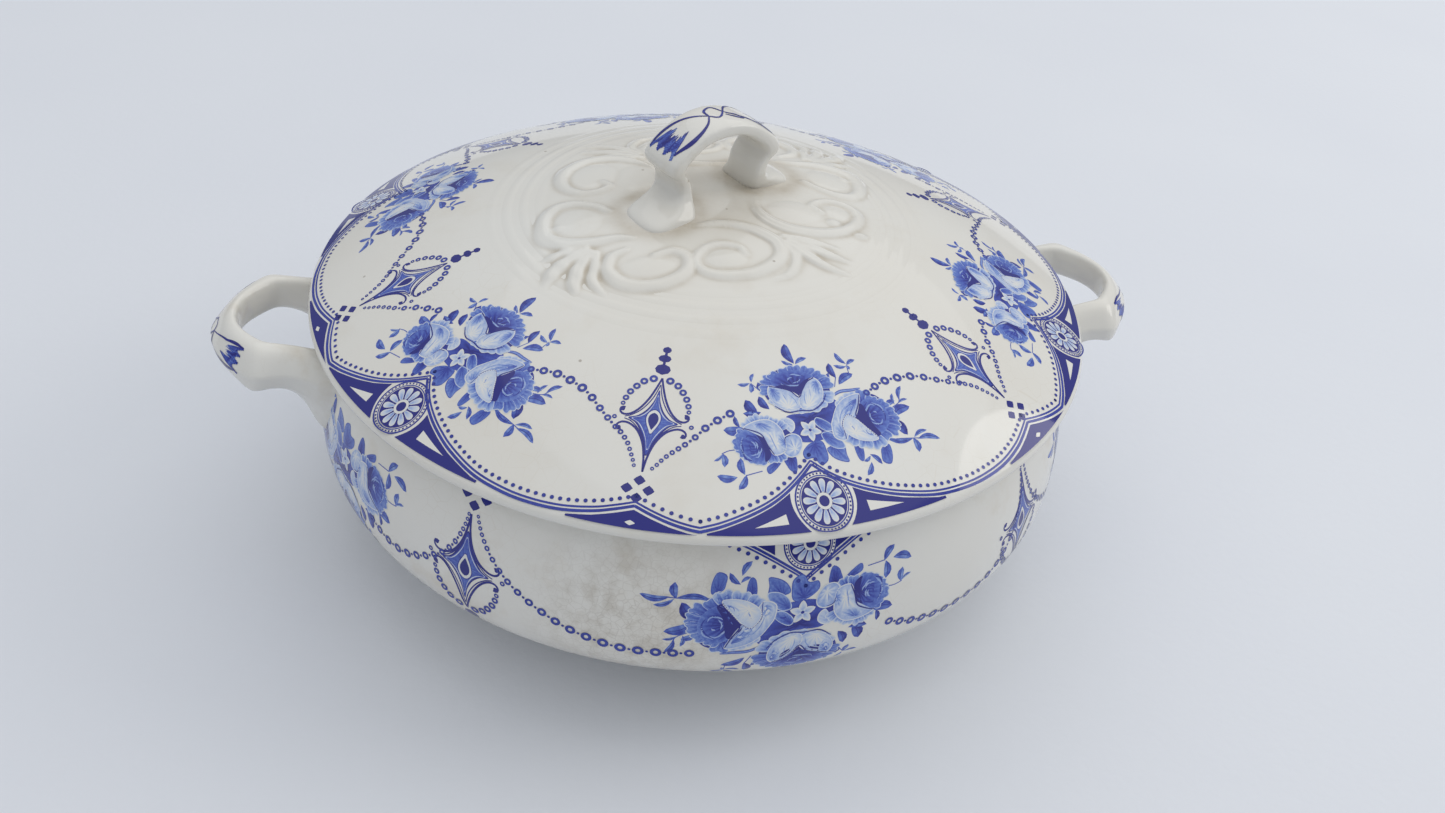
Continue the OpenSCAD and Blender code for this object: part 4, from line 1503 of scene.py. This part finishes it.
# The drop's middle line and the height of its jewel, then the strokes of its right side.
MIDDLE, JEWEL = 0.5, 94.2
STROKES = [
    (
        [
            (0.0, 81.6), (0.9, 84.6), (2.2, 88.0), (4.0, 91.0), (6.0, 92.8), (7.8, 93.2), (8.9, 92.4),
            (8.7, 91.3), (7.7, 91.3),
        ],
        0.58,
    ),
    (
        [
            (0.0, 107.6), (0.5, 103.6), (1.6, 100.0), (3.6, 97.0), (6.0, 95.5), (7.9, 95.4), (9.0, 96.3),
            (8.7, 97.4), (7.7, 97.2),
        ],
        0.58,
    ),
    ([(0.0, 83.6), (1.2, 87.6), (3.2, 91.0), (5.6, 93.1), (7.4, 93.8)], 0.30),
    ([(0.0, 105.6), (0.9, 101.2), (2.6, 97.6), (5.2, 95.1), (7.4, 94.3)], 0.30),
]
for side in (-1, 1):
    for knots, width in STROKES:
        drop.line([(MIDDLE + side * x, y) for x, y in knots], width, 0.92, step=0.6, taper=0.15)
    drop.dot(MIDDLE + side * 8.3, 91.8, 0.55, 0.92)
    drop.dot(MIDDLE + side * 8.3, 96.9, 0.50, 0.92)
drop.level = 1
KITE = mirrored([
    (0, 85.2), (0.8, 88.4), (2.2, 91.2), (4.2, 93.1), (6.5, 94.0), (4.4, 95.2), (2.6, 97.4), (1.1, 100.2),
    (0.0, 103.6),
])
kite = [(MIDDLE + x, y) for x, y in KITE]
drop.petal(kite, (MIDDLE, JEWEL), 0.50, 0.72, 0.98, rows=5, step=0.45, hatch=0.10, waves=17, wide=0.36)
drop.level = 2
inner_kite = [(MIDDLE + 0.86 * (x - MIDDLE), JEWEL + 0.84 * (y - JEWEL)) for x, y in kite]
drop.petal(inner_kite, (MIDDLE, JEWEL), 0.46, 0.66, 0.10, rows=4, step=0.45, hatch=0.14, waves=17, wide=0.24)
drop.level = 3
TEAR = mirrored([(0, 90.8), (1.5, 91.7), (2.1, 93.4), (1.7, 95.2), (0.8, 96.8), (0, 98.0)])
tear = [(MIDDLE + x, y) for x, y in TEAR]
drop.petal(tear, (MIDDLE, 94), 0.02, 0.02, 0.85, rows=3, hatch=0.0, wide=0.26)
drop.level = 4
inner_tear = [(MIDDLE + 0.64 * x, 93.9 + 0.66 * (y - 93.9)) for x, y in TEAR]
drop.petal(inner_tear, (MIDDLE, 94), 0.97, 0.97, rows=3, hatch=0.0)

print_piece("lid_border_print", border, [on_lid_edge(a) for a in LID_BOUQUETS], "lid_body")
print_piece("lid_medallion_print", medal, [on_lid(a) for a in LID_BOUQUETS], "lid_body")
print_piece("lid_drop_print", drop, [on_lid(a) for a in LID_DROPS], "lid_body")

# The bowl's border rises out of sight under the lid's edge, but for the front and back points.
HANG = [(0, 16.6), (1.3, 14.4), (2.8, 12.2), (4.7, 9.6), (7.4, 6.4), (10.2, 3.8), (12.4, 2.2)]
MIDDLES = (BOWL_BOUQUETS[0], BOWL_BOUQUETS[3])
bowl_border = Transfer()
hung_dots = []
for middle in MIDDLES:
    for side in (-1, 1):
        knots = [(-math.radians(middle + side * a) * BORDER_R, -down) for a, down in HANG]
        double_line(bowl_border, knots[::-side])
        row = np.array(knots) + (0, -2.0)
        hung_dots.append(smooth_line(row, 12))
        reach = np.linspace(4.1, 9.6, 20)
        top = np.interp(reach, *np.array(HANG).T) - 1.3
        xs = -np.radians(middle + side * reach) * BORDER_R
        upper, lower = np.column_stack([xs, -np.maximum(top, 2.05)]), np.column_stack([xs, np.full(20, -2.0)])
        bowl_border.patch(upper, lower, INK_FULL, rows=6)
print_piece("bowl_border_print", bowl_border, [on_bowl_edge(0)], "bowl_body")
print_piece("bowl_medallion_print", medal, [on_bowl_point(a) for a in MIDDLES], "bowl_body")
print_piece("bowl_drop_print", drop, [on_bowl(a) for a in BOWL_DROPS], "bowl_body")


# ---------------------------------------------------------------- brushwork on the handles
# The paint's height, how far off the rays start, and the strap's roundness where it is painted.
BRUSH_LIFT, STAND_OFF, STRAP_ROUND = 0.07, 20, 7.0


def caught(tree, origins, ways, lift):
    """Where rays meet a handle, lifted by a hair of paint, with the normals there."""
    points, normals = [], []
    for origin, way, sheet in zip(origins, ways, np.broadcast_to(lift, len(origins))):
        hit, normal, _, _ = tree.ray_cast(Vector((origin * MM).tolist()), Vector(way.tolist()))
        if hit is None:
            hit, normal, _, _ = tree.find_nearest(Vector(((origin + way * STAND_OFF) * MM).tolist()))
        points.append(np.array(hit) / MM + np.array(normal) * (BRUSH_LIFT + sheet))
        normals.append(np.array(normal))
    return np.array(points), np.array(normals)


def tree_of(piece):
    return BVHTree.FromObject(piece, bpy.context.evaluated_depsgraph_get())


def on_arch(x, y, lift):
    """Sheet x runs along the lid handle's strap from its top and y across it."""
    tree = tree_of(lid_arch)
    length = np.concatenate([[0], np.cumsum(np.hypot(*np.diff(arch_spine[:, :2], axis=0).T))])
    length -= length[len(length) // 2]
    u, z, du, dz = (np.interp(x, length, arch_spine[:, k]) for k in range(4))
    size = np.hypot(du, dz)
    du, dz = du / size, dz / size
    c, s = math.cos(lid_turn), math.sin(lid_turn)
    u, z = u + STAND_OFF * du, z + STAND_OFF * dz
    origins = np.column_stack([u * c - y * s, u * s + y * c, dome_z + z])
    ways = -np.column_stack([du * c, du * s, dz])
    return caught(tree, origins, ways, lift)


def on_strap(index, side):
    """Sheet x runs along a side handle from its middle and y up round its outer face."""
    tree = tree_of(straps[index])
    spine = np.array([np.mean(loop, axis=0) for loop in handle_loops(side)])
    ahead = np.gradient(spine, axis=0)
    ahead /= np.linalg.norm(ahead, axis=1)[:, None]
    out = np.column_stack([ahead[:, 1], -ahead[:, 0], np.zeros(len(ahead))])
    length = np.concatenate([[0], np.cumsum(np.linalg.norm(np.diff(spine, axis=0), axis=1))])
    length -= length[len(length) // 2]

    def lay(x, y, lift):
        at = np.column_stack([np.interp(x, length, spine[:, k]) for k in range(3)])
        way = np.column_stack([np.interp(x, length, out[:, k]) for k in range(3)])
        way /= np.linalg.norm(way, axis=1)[:, None]
        tilt = y / STRAP_ROUND
        way = way * np.cos(tilt)[:, None] + np.array([0, 0, 1.0]) * np.sin(tilt)[:, None]
        return caught(tree, at + STAND_OFF * way, -way, lift)

    return lay


def brush_leaf(sheet, reach, flip, seed, raised=0.0):
    """A painted leaf: dark outline strokes, and a ragged end dragged inward with a dry brush."""
    chance = np.random.RandomState(seed)

    def at(knots):
        return [(k[0] * reach, k[1] * flip + raised, *k[2:]) for k in knots]

    for k in range(30):
        t = k / 29
        end = np.array([-21.6 + 2.2 * abs(math.sin(3 * math.pi * t)), 5.8 - 10.8 * t])
        root = np.array([-4.0, 0.2])
        far = chance.uniform(0.22, 0.46) * (1.25 - 0.5 * math.sin(math.pi * t))
        middle = end + (root - end) * far * 0.5 + chance.uniform(-0.3, 0.3, 2)
        stop = end + (root - end) * far
        strokes = at([(*end, 0.95), (*middle, 0.7), (*stop, 0.12)])
        sheet.line(strokes, 0.5, chance.uniform(0.5, 0.9), step=0.8)
    sheet.level += 1
    sheet.line(
        at([(-3.0, -0.4, 0.45), (-7, 2.6, 0.7), (-12, 4.9, 1.0), (-17, 6.0, 1.3), (-21.4, 6.0, 0.6)]), 0.8,
        0.95,
    )
    sheet.line(
        at([(-3.0, -0.4, 0.45), (-5.8, -3.8, 0.7), (-10, -5.9, 1.1), (-15, -6.3, 1.4), (-20.0, -5.0, 0.7)]),
        0.8, 0.95,
    )
    sheet.line(at([(-19.6, 1.6, 1.2), (-17.4, 0.6, 0.9), (-15.4, 0.2, 0.2)]), 0.8, 0.9)


painted = Transfer()
brush_leaf(painted, 0.88, 1, 1)
brush_leaf(painted, -0.88, -1, 2)
for knots in (
    [(-2.7, -0.4, 0.5), (-2.2, 3.0, 0.8), (1.0, 4.2, 0.7), (2.7, 0.4, 0.5)],
    [(-2.7, -0.4, 0.5), (-0.4, -2.6, 0.7), (2.7, 0.4, 0.5)],
    [(2.4, -1.4, 0.3), (4.6, -3.4, 0.9), (6.6, -4.6, 0.4)],
    [(3.0, -0.6, 0.3), (5.6, -1.8, 0.8), (7.0, -4.4, 0.3)],
):
    painted.line(knots, 0.6, 0.9)
print_piece("lid_handle_brushwork", painted, [on_arch], "lid_body", brush_ink)

for index, side, name in ((0, 1, "right"), (1, -1, "left")):
    painted = Transfer()
    for reach, flip, seed in ((0.92, 1, 3), (-0.92, 1, 4)):
        brush_leaf(painted, reach, flip, seed + index, 2.6)
    for knots in ([(-2.7, 2.2, 0.5), (-1.6, 5.4, 0.7), (1.6, 5.4, 0.7), (2.7, 2.2, 0.5)],
                  [(-2.7, 2.2, 0.5), (-1.4, -1.0, 0.7), (1.4, -1.0, 0.7), (2.7, 2.2, 0.5)]):
        painted.line(knots, 0.6, 0.88)
    print_piece(
        f"handle_brushwork_{name}", painted, [on_strap(index, side)], "bowl_body", brush_ink,
    )


# ---------------------------------------------------------------- strings of beads, by Geometry Nodes
class Maker:
    """Builds a Geometry Nodes tree with named inputs."""

    def __init__(self, name, sizes):
        self.tree = bpy.data.node_groups.new(name, "GeometryNodeTree")
        self.sizes = sizes
        self.tree.interface.new_socket("Geometry", in_out="INPUT", socket_type="NodeSocketGeometry")
        self.keys = {}
        for label, (kind, value) in sizes.items():
            socket = self.tree.interface.new_socket(label, in_out="INPUT", socket_type=f"NodeSocket{kind}")
            if value is not None:
                socket.default_value = value
            self.keys[label] = socket.identifier
        self.tree.interface.new_socket("Geometry", in_out="OUTPUT", socket_type="NodeSocketGeometry")
        self.start = self.tree.nodes.new("NodeGroupInput")
        self.end = self.tree.nodes.new("NodeGroupOutput")

    def given(self, label):
        return self.start.outputs[label]

    def add(self, kind, inputs=None, output=0, **settings):
        node = self.tree.nodes.new(kind)
        for key, value in settings.items():
            setattr(node, key, value)
        for key, value in (inputs or {}).items():
            if isinstance(value, bpy.types.NodeSocket):
                self.tree.links.new(value, node.inputs[key])
            else:
                node.inputs[key].default_value = value
        return node.outputs[output]

    def maths(self, operation, *values):
        return self.add("ShaderNodeMath", dict(enumerate(values)), operation=operation)


def bead_maker():
    """Rings set flat on a surface: points carry 'facing' and 'size', and the tree bends a grid
    into a ring, sets one on every point, and gives it its ink and its bake map."""
    m = Maker("bead string", {
        "Bead Radius": ("Float", 1.0), "Hole Share": ("Float", 0.5), "Sides": ("Int", 16),
        "Ink": ("Float", 0.85), "Ink Material": ("Material", None),
    })
    grid = m.add("GeometryNodeMeshGrid", {
        "Size X": 1.0, "Size Y": 1.0, "Vertices X": m.maths("ADD", m.given("Sides"), 1), "Vertices Y": 3})
    place = m.add("GeometryNodeInputPosition")
    parts = m.tree.nodes.new("ShaderNodeSeparateXYZ")
    m.tree.links.new(place, parts.inputs[0])
    turn = m.maths("MULTIPLY", parts.outputs["X"], -2 * math.pi)
    out = m.maths("ADD", parts.outputs["Y"], 0.5)
    solid = m.maths("SUBTRACT", 1.0, m.given("Hole Share"))
    share = m.maths("ADD", m.given("Hole Share"), m.maths("MULTIPLY", out, solid))
    radius = m.maths("MULTIPLY", share, m.given("Bead Radius"))
    bent = m.add("ShaderNodeCombineXYZ", {
        "X": m.maths("MULTIPLY", radius, m.maths("COSINE", turn)),
        "Y": m.maths("MULTIPLY", radius, m.maths("SINE", turn))})
    ink = m.maths("ADD", m.maths("MULTIPLY", out, 0.06), m.given("Ink"))
    inked = m.add("GeometryNodeStoreNamedAttribute", {"Geometry": grid, "Name": "ink", "Value": ink},
                  data_type="FLOAT", domain="POINT")
    map_u = m.maths("ADD", m.maths("MULTIPLY", ink, 0.9), m.maths("MULTIPLY", out, 0.03))
    map_v = m.maths("ADD", m.maths("MULTIPLY", parts.outputs["X"], 0.8), 0.5)
    map_at = m.add("ShaderNodeCombineXYZ", {"X": map_u, "Y": map_v})
    mapped = m.add("GeometryNodeStoreNamedAttribute", {"Geometry": inked, "Name": "OFBake", "Value": map_at},
                   data_type="FLOAT2", domain="CORNER")
    ring = m.add("GeometryNodeSetPosition", {"Geometry": mapped, "Position": bent})
    ring = m.add("GeometryNodeMergeByDistance", {"Geometry": ring, "Distance": 0.00001})
    facing = m.add("GeometryNodeInputNamedAttribute", {"Name": "facing"}, data_type="FLOAT_VECTOR")
    size = m.add("GeometryNodeInputNamedAttribute", {"Name": "size"}, data_type="FLOAT")
    turned = m.add("FunctionNodeAlignRotationToVector", {"Vector": facing}, axis="Z")
    beads = m.add("GeometryNodeInstanceOnPoints", {
        "Points": m.given("Geometry"), "Instance": ring, "Rotation": turned, "Scale": size})
    real = m.add("GeometryNodeRealizeInstances", {"Geometry": beads})
    done = m.add("GeometryNodeSetMaterial", {"Geometry": real, "Material": m.given("Ink Material")})
    m.tree.links.new(done, m.end.inputs[0])
    return m


beads_tree = bead_maker()


def string_beads(name, points, normals, sizes, body, ink, hole, sides):
    """Sets a bead on every point; sizes are the beads' radii in mm."""
    mesh = bpy.data.meshes.new(name + "_points")
    mesh.from_pydata((np.asarray(points) * MM).tolist(), [], [])
    facing = mesh.attributes.new("facing", "FLOAT_VECTOR", "POINT")
    facing.data.foreach_set("vector", np.asarray(normals, dtype=np.float32).ravel())
    size = mesh.attributes.new("size", "FLOAT", "POINT")
    size.data.foreach_set("value", np.asarray(sizes, dtype=np.float32))
    obj = put_in_scene(name, mesh)
    modifier = obj.modifiers.new("beads", "NODES")
    modifier.node_group = beads_tree.tree
    settings = {"Bead Radius": MM, "Hole Share": hole, "Sides": sides, "Ink": ink, "Ink Material": bead_ink}
    for label, value in settings.items():
        modifier[beads_tree.keys[label]] = value
    ready = obj.evaluated_get(bpy.context.evaluated_depsgraph_get())
    plain = bpy.data.meshes.new_from_object(ready)
    obj.modifiers.clear()
    obj.data = plain
    bpy.data.meshes.remove(mesh)
    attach(obj, body)
    return obj


LARGE_BEAD, GAP_WITH_DOT, GAP_PLAIN, SMALL_DOT = 0.85, 1.55, 0.42, 0.42


def strung(knots, lay):
    """Rings along a garland, with a small dot between the larger ones."""
    dense = smooth_line(knots, 400)
    on, _ = lay(dense[:, 0], dense[:, 1], np.zeros(400))
    along = np.concatenate([[0], np.cumsum(np.linalg.norm(np.diff(on, axis=0), axis=1))])
    rings, dots, at = [], [], 0.0
    while at <= along[-1]:
        place = [float(np.interp(at, along, dense[:, k])) for k in range(3)]
        rings.append(place)
        large = place[2] > LARGE_BEAD
        step = 2 * place[2] + (GAP_WITH_DOT if large else GAP_PLAIN)
        if large and at + step < along[-1]:
            middle = at + step / 2
            dots.append([float(np.interp(middle, along, dense[:, k])) for k in range(2)] + [SMALL_DOT])
        at += step
    return rings, dots


def lid_degrees(azimuth):
    """Places beads on the lid: x in degrees from the azimuth, y out from the axis."""
    def lay(x, y, lift):
        a = np.radians(azimuth + np.asarray(x))
        return on_dome(y * np.cos(a), y * np.sin(a), y, lift)

    return lay


def bowl_degrees(azimuth, flip):
    """Places beads on the bowl: x in degrees from the azimuth, y down from the rim."""
    def lay(x, y, lift):
        return on_side(azimuth + flip * np.asarray(x), y, np.asarray(lift))

    return lay


LID_GARLANDS = [
    [
        (12.6, 89.3, 1.0), (16, 87.9, 1.28), (19, 87.9, 1.32), (22.5, 89.2, 1.32), (24.6, 90.8, 1.2),
        (26.6, 93.1, 1.05), (28.4, 95.2, 0.95), (30.0, 97.1, 0.82), (31.4, 98.7, 0.75), (32.6, 100.8, 0.68),
        (33.3, 102.8, 0.60), (33.9, 104.7, 0.55), (34.4, 106.8, 0.48),
    ],
    [
        (-12.2, 90.4, 1.2), (-14.4, 92.5, 1.2), (-16.2, 94.7, 1.1), (-17.6, 97.2, 0.92),
        (-18.9, 99.2, 0.82), (-20.2, 101, 0.74), (-21.35, 102.7, 0.66), (-22.2, 104.3, 0.60),
        (-22.8, 105.7, 0.55), (-23.6, 107.2, 0.48),
    ],
]
LOOP_BEADS = [
    (2.2, 82.1, 1.12), (4.5, 83.2, 1.05), (6.1, 84.9, 1.0), (7.4, 86.7, 0.95), (8.2, 88.6, 0.85),
    (8.6, 90.2, 0.62),
]
SIDE_BEAD = (10.0, 94.2, 0.62)
BEAD_LIFT = 0.10
lid_rings, lid_dots, bowl_rings, bowl_dots = [], [], [], []


def gather(store, lay, items):
    """Adds beads to a store: their points, the directions that they face and their radii."""
    items = np.asarray(items, dtype=float)
    points, normals = lay(items[:, 0], items[:, 1], np.full(len(items), BEAD_LIFT))
    store.append((points, normals, items[:, 2]))


def both_sides(larger):
    """The loop of beads over a drop, which is the same on both its sides."""
    return [
        (MIDDLE + side * x, y, size * larger)
        for side in (-1, 1)
        for x, y, size in LOOP_BEADS + [SIDE_BEAD]
    ]


for azimuth in LID_BOUQUETS:
    for garland in LID_GARLANDS:
        rings, dots = strung(garland, lid_degrees(azimuth))
        gather(lid_rings, lid_degrees(azimuth), rings)
        if dots:
            gather(lid_dots, lid_degrees(azimuth), dots)
    edge = on_lid_edge(azimuth)
    for knots in (POINT_LEFT, POINT_RIGHT + DROP_LEFT[1:], DROP_RIGHT):
        row = dotted(degrees_out(knots))
        gather(lid_dots, edge, np.column_stack([row, np.full(len(row), 0.56)]))
for azimuth in LID_DROPS:
    gather(lid_rings, on_lid(azimuth), both_sides(1))

# Garlands of the bowl: degrees from the bouquet's middle, distance down from the rim, bead radius.
BOWL_GARLANDS = [
    (
        1,
        [
            (12.4, 37.4, 1.35), (16, 40.6, 1.5), (20, 42.8, 1.6), (24.0, 43.6, 1.6), (28.5, 42.8, 1.55),
            (32.0, 40.4, 1.45), (34.4, 36.6, 1.3), (35.9, 32.4, 1.15), (36.9, 28.0, 1.0),
            (37.6, 23.4, 0.85), (38.0, 18.8, 0.72), (38.3, 14.6, 0.6), (38.5, 11.4, 0.5),
        ],
    ),
    (
        -1,
        [
            (14.0, 39.8, 1.4), (18.5, 40.4, 1.6), (22.5, 40.4, 1.6), (26.0, 39.2, 1.55), (29.5, 37.2, 1.45),
            (32.5, 34.4, 1.35), (35.2, 31.4, 1.2), (37.6, 28.0, 1.05), (39.6, 24.0, 0.92),
            (41.2, 19.8, 0.78), (42.4, 15.6, 0.62), (43.2, 11.6, 0.5),
        ],
    ),
]
SHORT_REACH = 27.6
SHORT_GARLAND = [
    (8.5, 36.0, 1.3), (12.0, 38.2, 1.45), (15.4, 38.0, 1.45), (18.4, 35.6, 1.35), (21.0, 32.4, 1.2),
    (23.2, 28.8, 1.05), (24.9, 24.6, 0.92), (26.0, 20.2, 0.78), (26.7, 15.8, 0.62), (27.0, 11.8, 0.5),
]
for middle in MIDDLES:
    for flip, garland in BOWL_GARLANDS:
        rings, dots = strung(garland, bowl_degrees(middle, flip))
        gather(bowl_rings, bowl_degrees(middle, flip), rings)
        gather(bowl_dots, bowl_degrees(middle, flip), dots)
for from_bouquet, to_drop in ((1, 1), (5, 0), (2, 2), (4, 3)):
    bouquet_at, drop_at = BOWL_BOUQUETS[from_bouquet], BOWL_DROPS[to_drop]
    flip = 1 if drop_at > bouquet_at else -1
    reach = abs(drop_at - bouquet_at) / SHORT_REACH
    garland = [(x * reach, y, size) for x, y, size in SHORT_GARLAND]
    rings, dots = strung(garland, bowl_degrees(bouquet_at, flip))
    gather(bowl_rings, bowl_degrees(bouquet_at, flip), rings)
    gather(bowl_dots, bowl_degrees(bouquet_at, flip), dots)
for azimuth in BOWL_DROPS:
    gather(bowl_rings, on_bowl(azimuth), both_sides(LARGER))
for row in hung_dots:
    gather(bowl_dots, on_bowl_edge(0), np.column_stack([row, np.full(len(row), 0.6)]))

for name, store, body, slot, ink, hole, sides in (
    ("lid_bead_rings", lid_rings, "lid_body", "lid_glaze", 0.76, 0.40, 16),
    ("lid_dots", lid_dots, "lid_body", "lid_glaze", 0.80, 0.0, 8),
    ("bowl_bead_rings", bowl_rings, "bowl_body", "bowl_glaze", 0.74, 0.42, 16),
    ("bowl_dots", bowl_dots, "bowl_body", "bowl_glaze", 0.80, 0.0, 8),
):
    points, normals, sizes = (np.concatenate([item[k] for item in store]) for k in range(3))
    string_beads(name, points, normals, sizes, body, ink, hole, sides)


# ---------------------------------------------------------------- floor, light and camera
floor_mesh = bpy.data.meshes.new("floor")
floor_mesh.from_pydata([(-4, -4, 0), (4, -4, 0), (4, 4, 0), (-4, 4, 0)], [], [(0, 1, 2, 3)])
floor = put_in_scene("floor", floor_mesh)
floor_finish = Finish("pale floor")
floor_tone = floor_finish.blend(floor_finish.noise(6, 2), (0.72, 0.74, 0.79), (0.76, 0.78, 0.82))
floor_mesh.materials.append(
    floor_finish.close(floor_tone, 0.8, floor_finish.noise(300, 2), 0.0001, coat=0.0)
)

bpy.context.scene.view_settings.view_transform = "Standard"
world = bpy.data.worlds.new("studio")
bpy.context.scene.world = world
world.use_nodes = True
sky = world.node_tree
sky_way = sky.nodes.new("ShaderNodeTexCoord")
sky_parts = sky.nodes.new("ShaderNodeSeparateXYZ")
sky_tone = sky.nodes.new("ShaderNodeValToRGB")
SKY_STOPS = ((0.0, (0.30, 0.33, 0.38)), (0.9, (0.96, 0.98, 1.0)))
for stop, (position, colour) in zip(sky_tone.color_ramp.elements, SKY_STOPS):
    stop.position = position
    stop.color = (*colour, 1)
sky.links.new(sky_way.outputs["Generated"], sky_parts.inputs[0])
sky.links.new(sky_parts.outputs["Z"], sky_tone.inputs[0])
sky.links.new(sky_tone.outputs[0], sky.nodes["Background"].inputs["Color"])
sky.nodes["Background"].inputs["Strength"].default_value = 0.86


def softbox(name, place, aim, size, watts, colour):
    data = bpy.data.lights.new(name, "AREA")
    data.shape, data.size, data.energy, data.color = "DISK", size, watts, colour
    lamp = put_in_scene(name, data)
    lamp.location = place
    lamp.rotation_euler = (Vector(aim) - Vector(place)).to_track_quat("-Z", "Y").to_euler()


softbox("side", (1.6, -0.1, 1.0), (0, 0, 0.05), 1.1, 7, (1.0, 0.97, 0.92))
sun_data = bpy.data.lights.new("bright cloud", "SUN")
sun_data.energy, sun_data.angle = 0.45, math.radians(70)
sun = put_in_scene("bright cloud", sun_data)
sun.rotation_euler = Vector((0.25, 0.45, 1.0)).to_track_quat("Z", "Y").to_euler()

pitch, yaw, roll, table_turn = (math.radians(a) for a in (37.50, 1.80, 5.73, -13.7))
turn_table = Matrix.Rotation(table_turn, 3, "Z")
ahead = turn_table @ Vector(
    (math.sin(yaw) * math.cos(pitch), math.cos(yaw) * math.cos(pitch), -math.sin(pitch))
)
level = turn_table @ Vector((math.cos(yaw), -math.sin(yaw), 0))
overhead = level.cross(ahead)
across = level * math.cos(roll) + overhead * math.sin(roll)
upward = -level * math.sin(roll) + overhead * math.cos(roll)
lens = bpy.data.cameras.new("camera")
lens.sensor_width, lens.lens, lens.clip_start = 36.0, 30.24, 0.01
camera = put_in_scene("camera", lens)
pose = Matrix((across, upward, -ahead)).transposed().to_4x4()
pose.translation = Vector((-0.0798, -0.3274, 0.2894))
camera.matrix_world = pose
bpy.context.scene.camera = camera
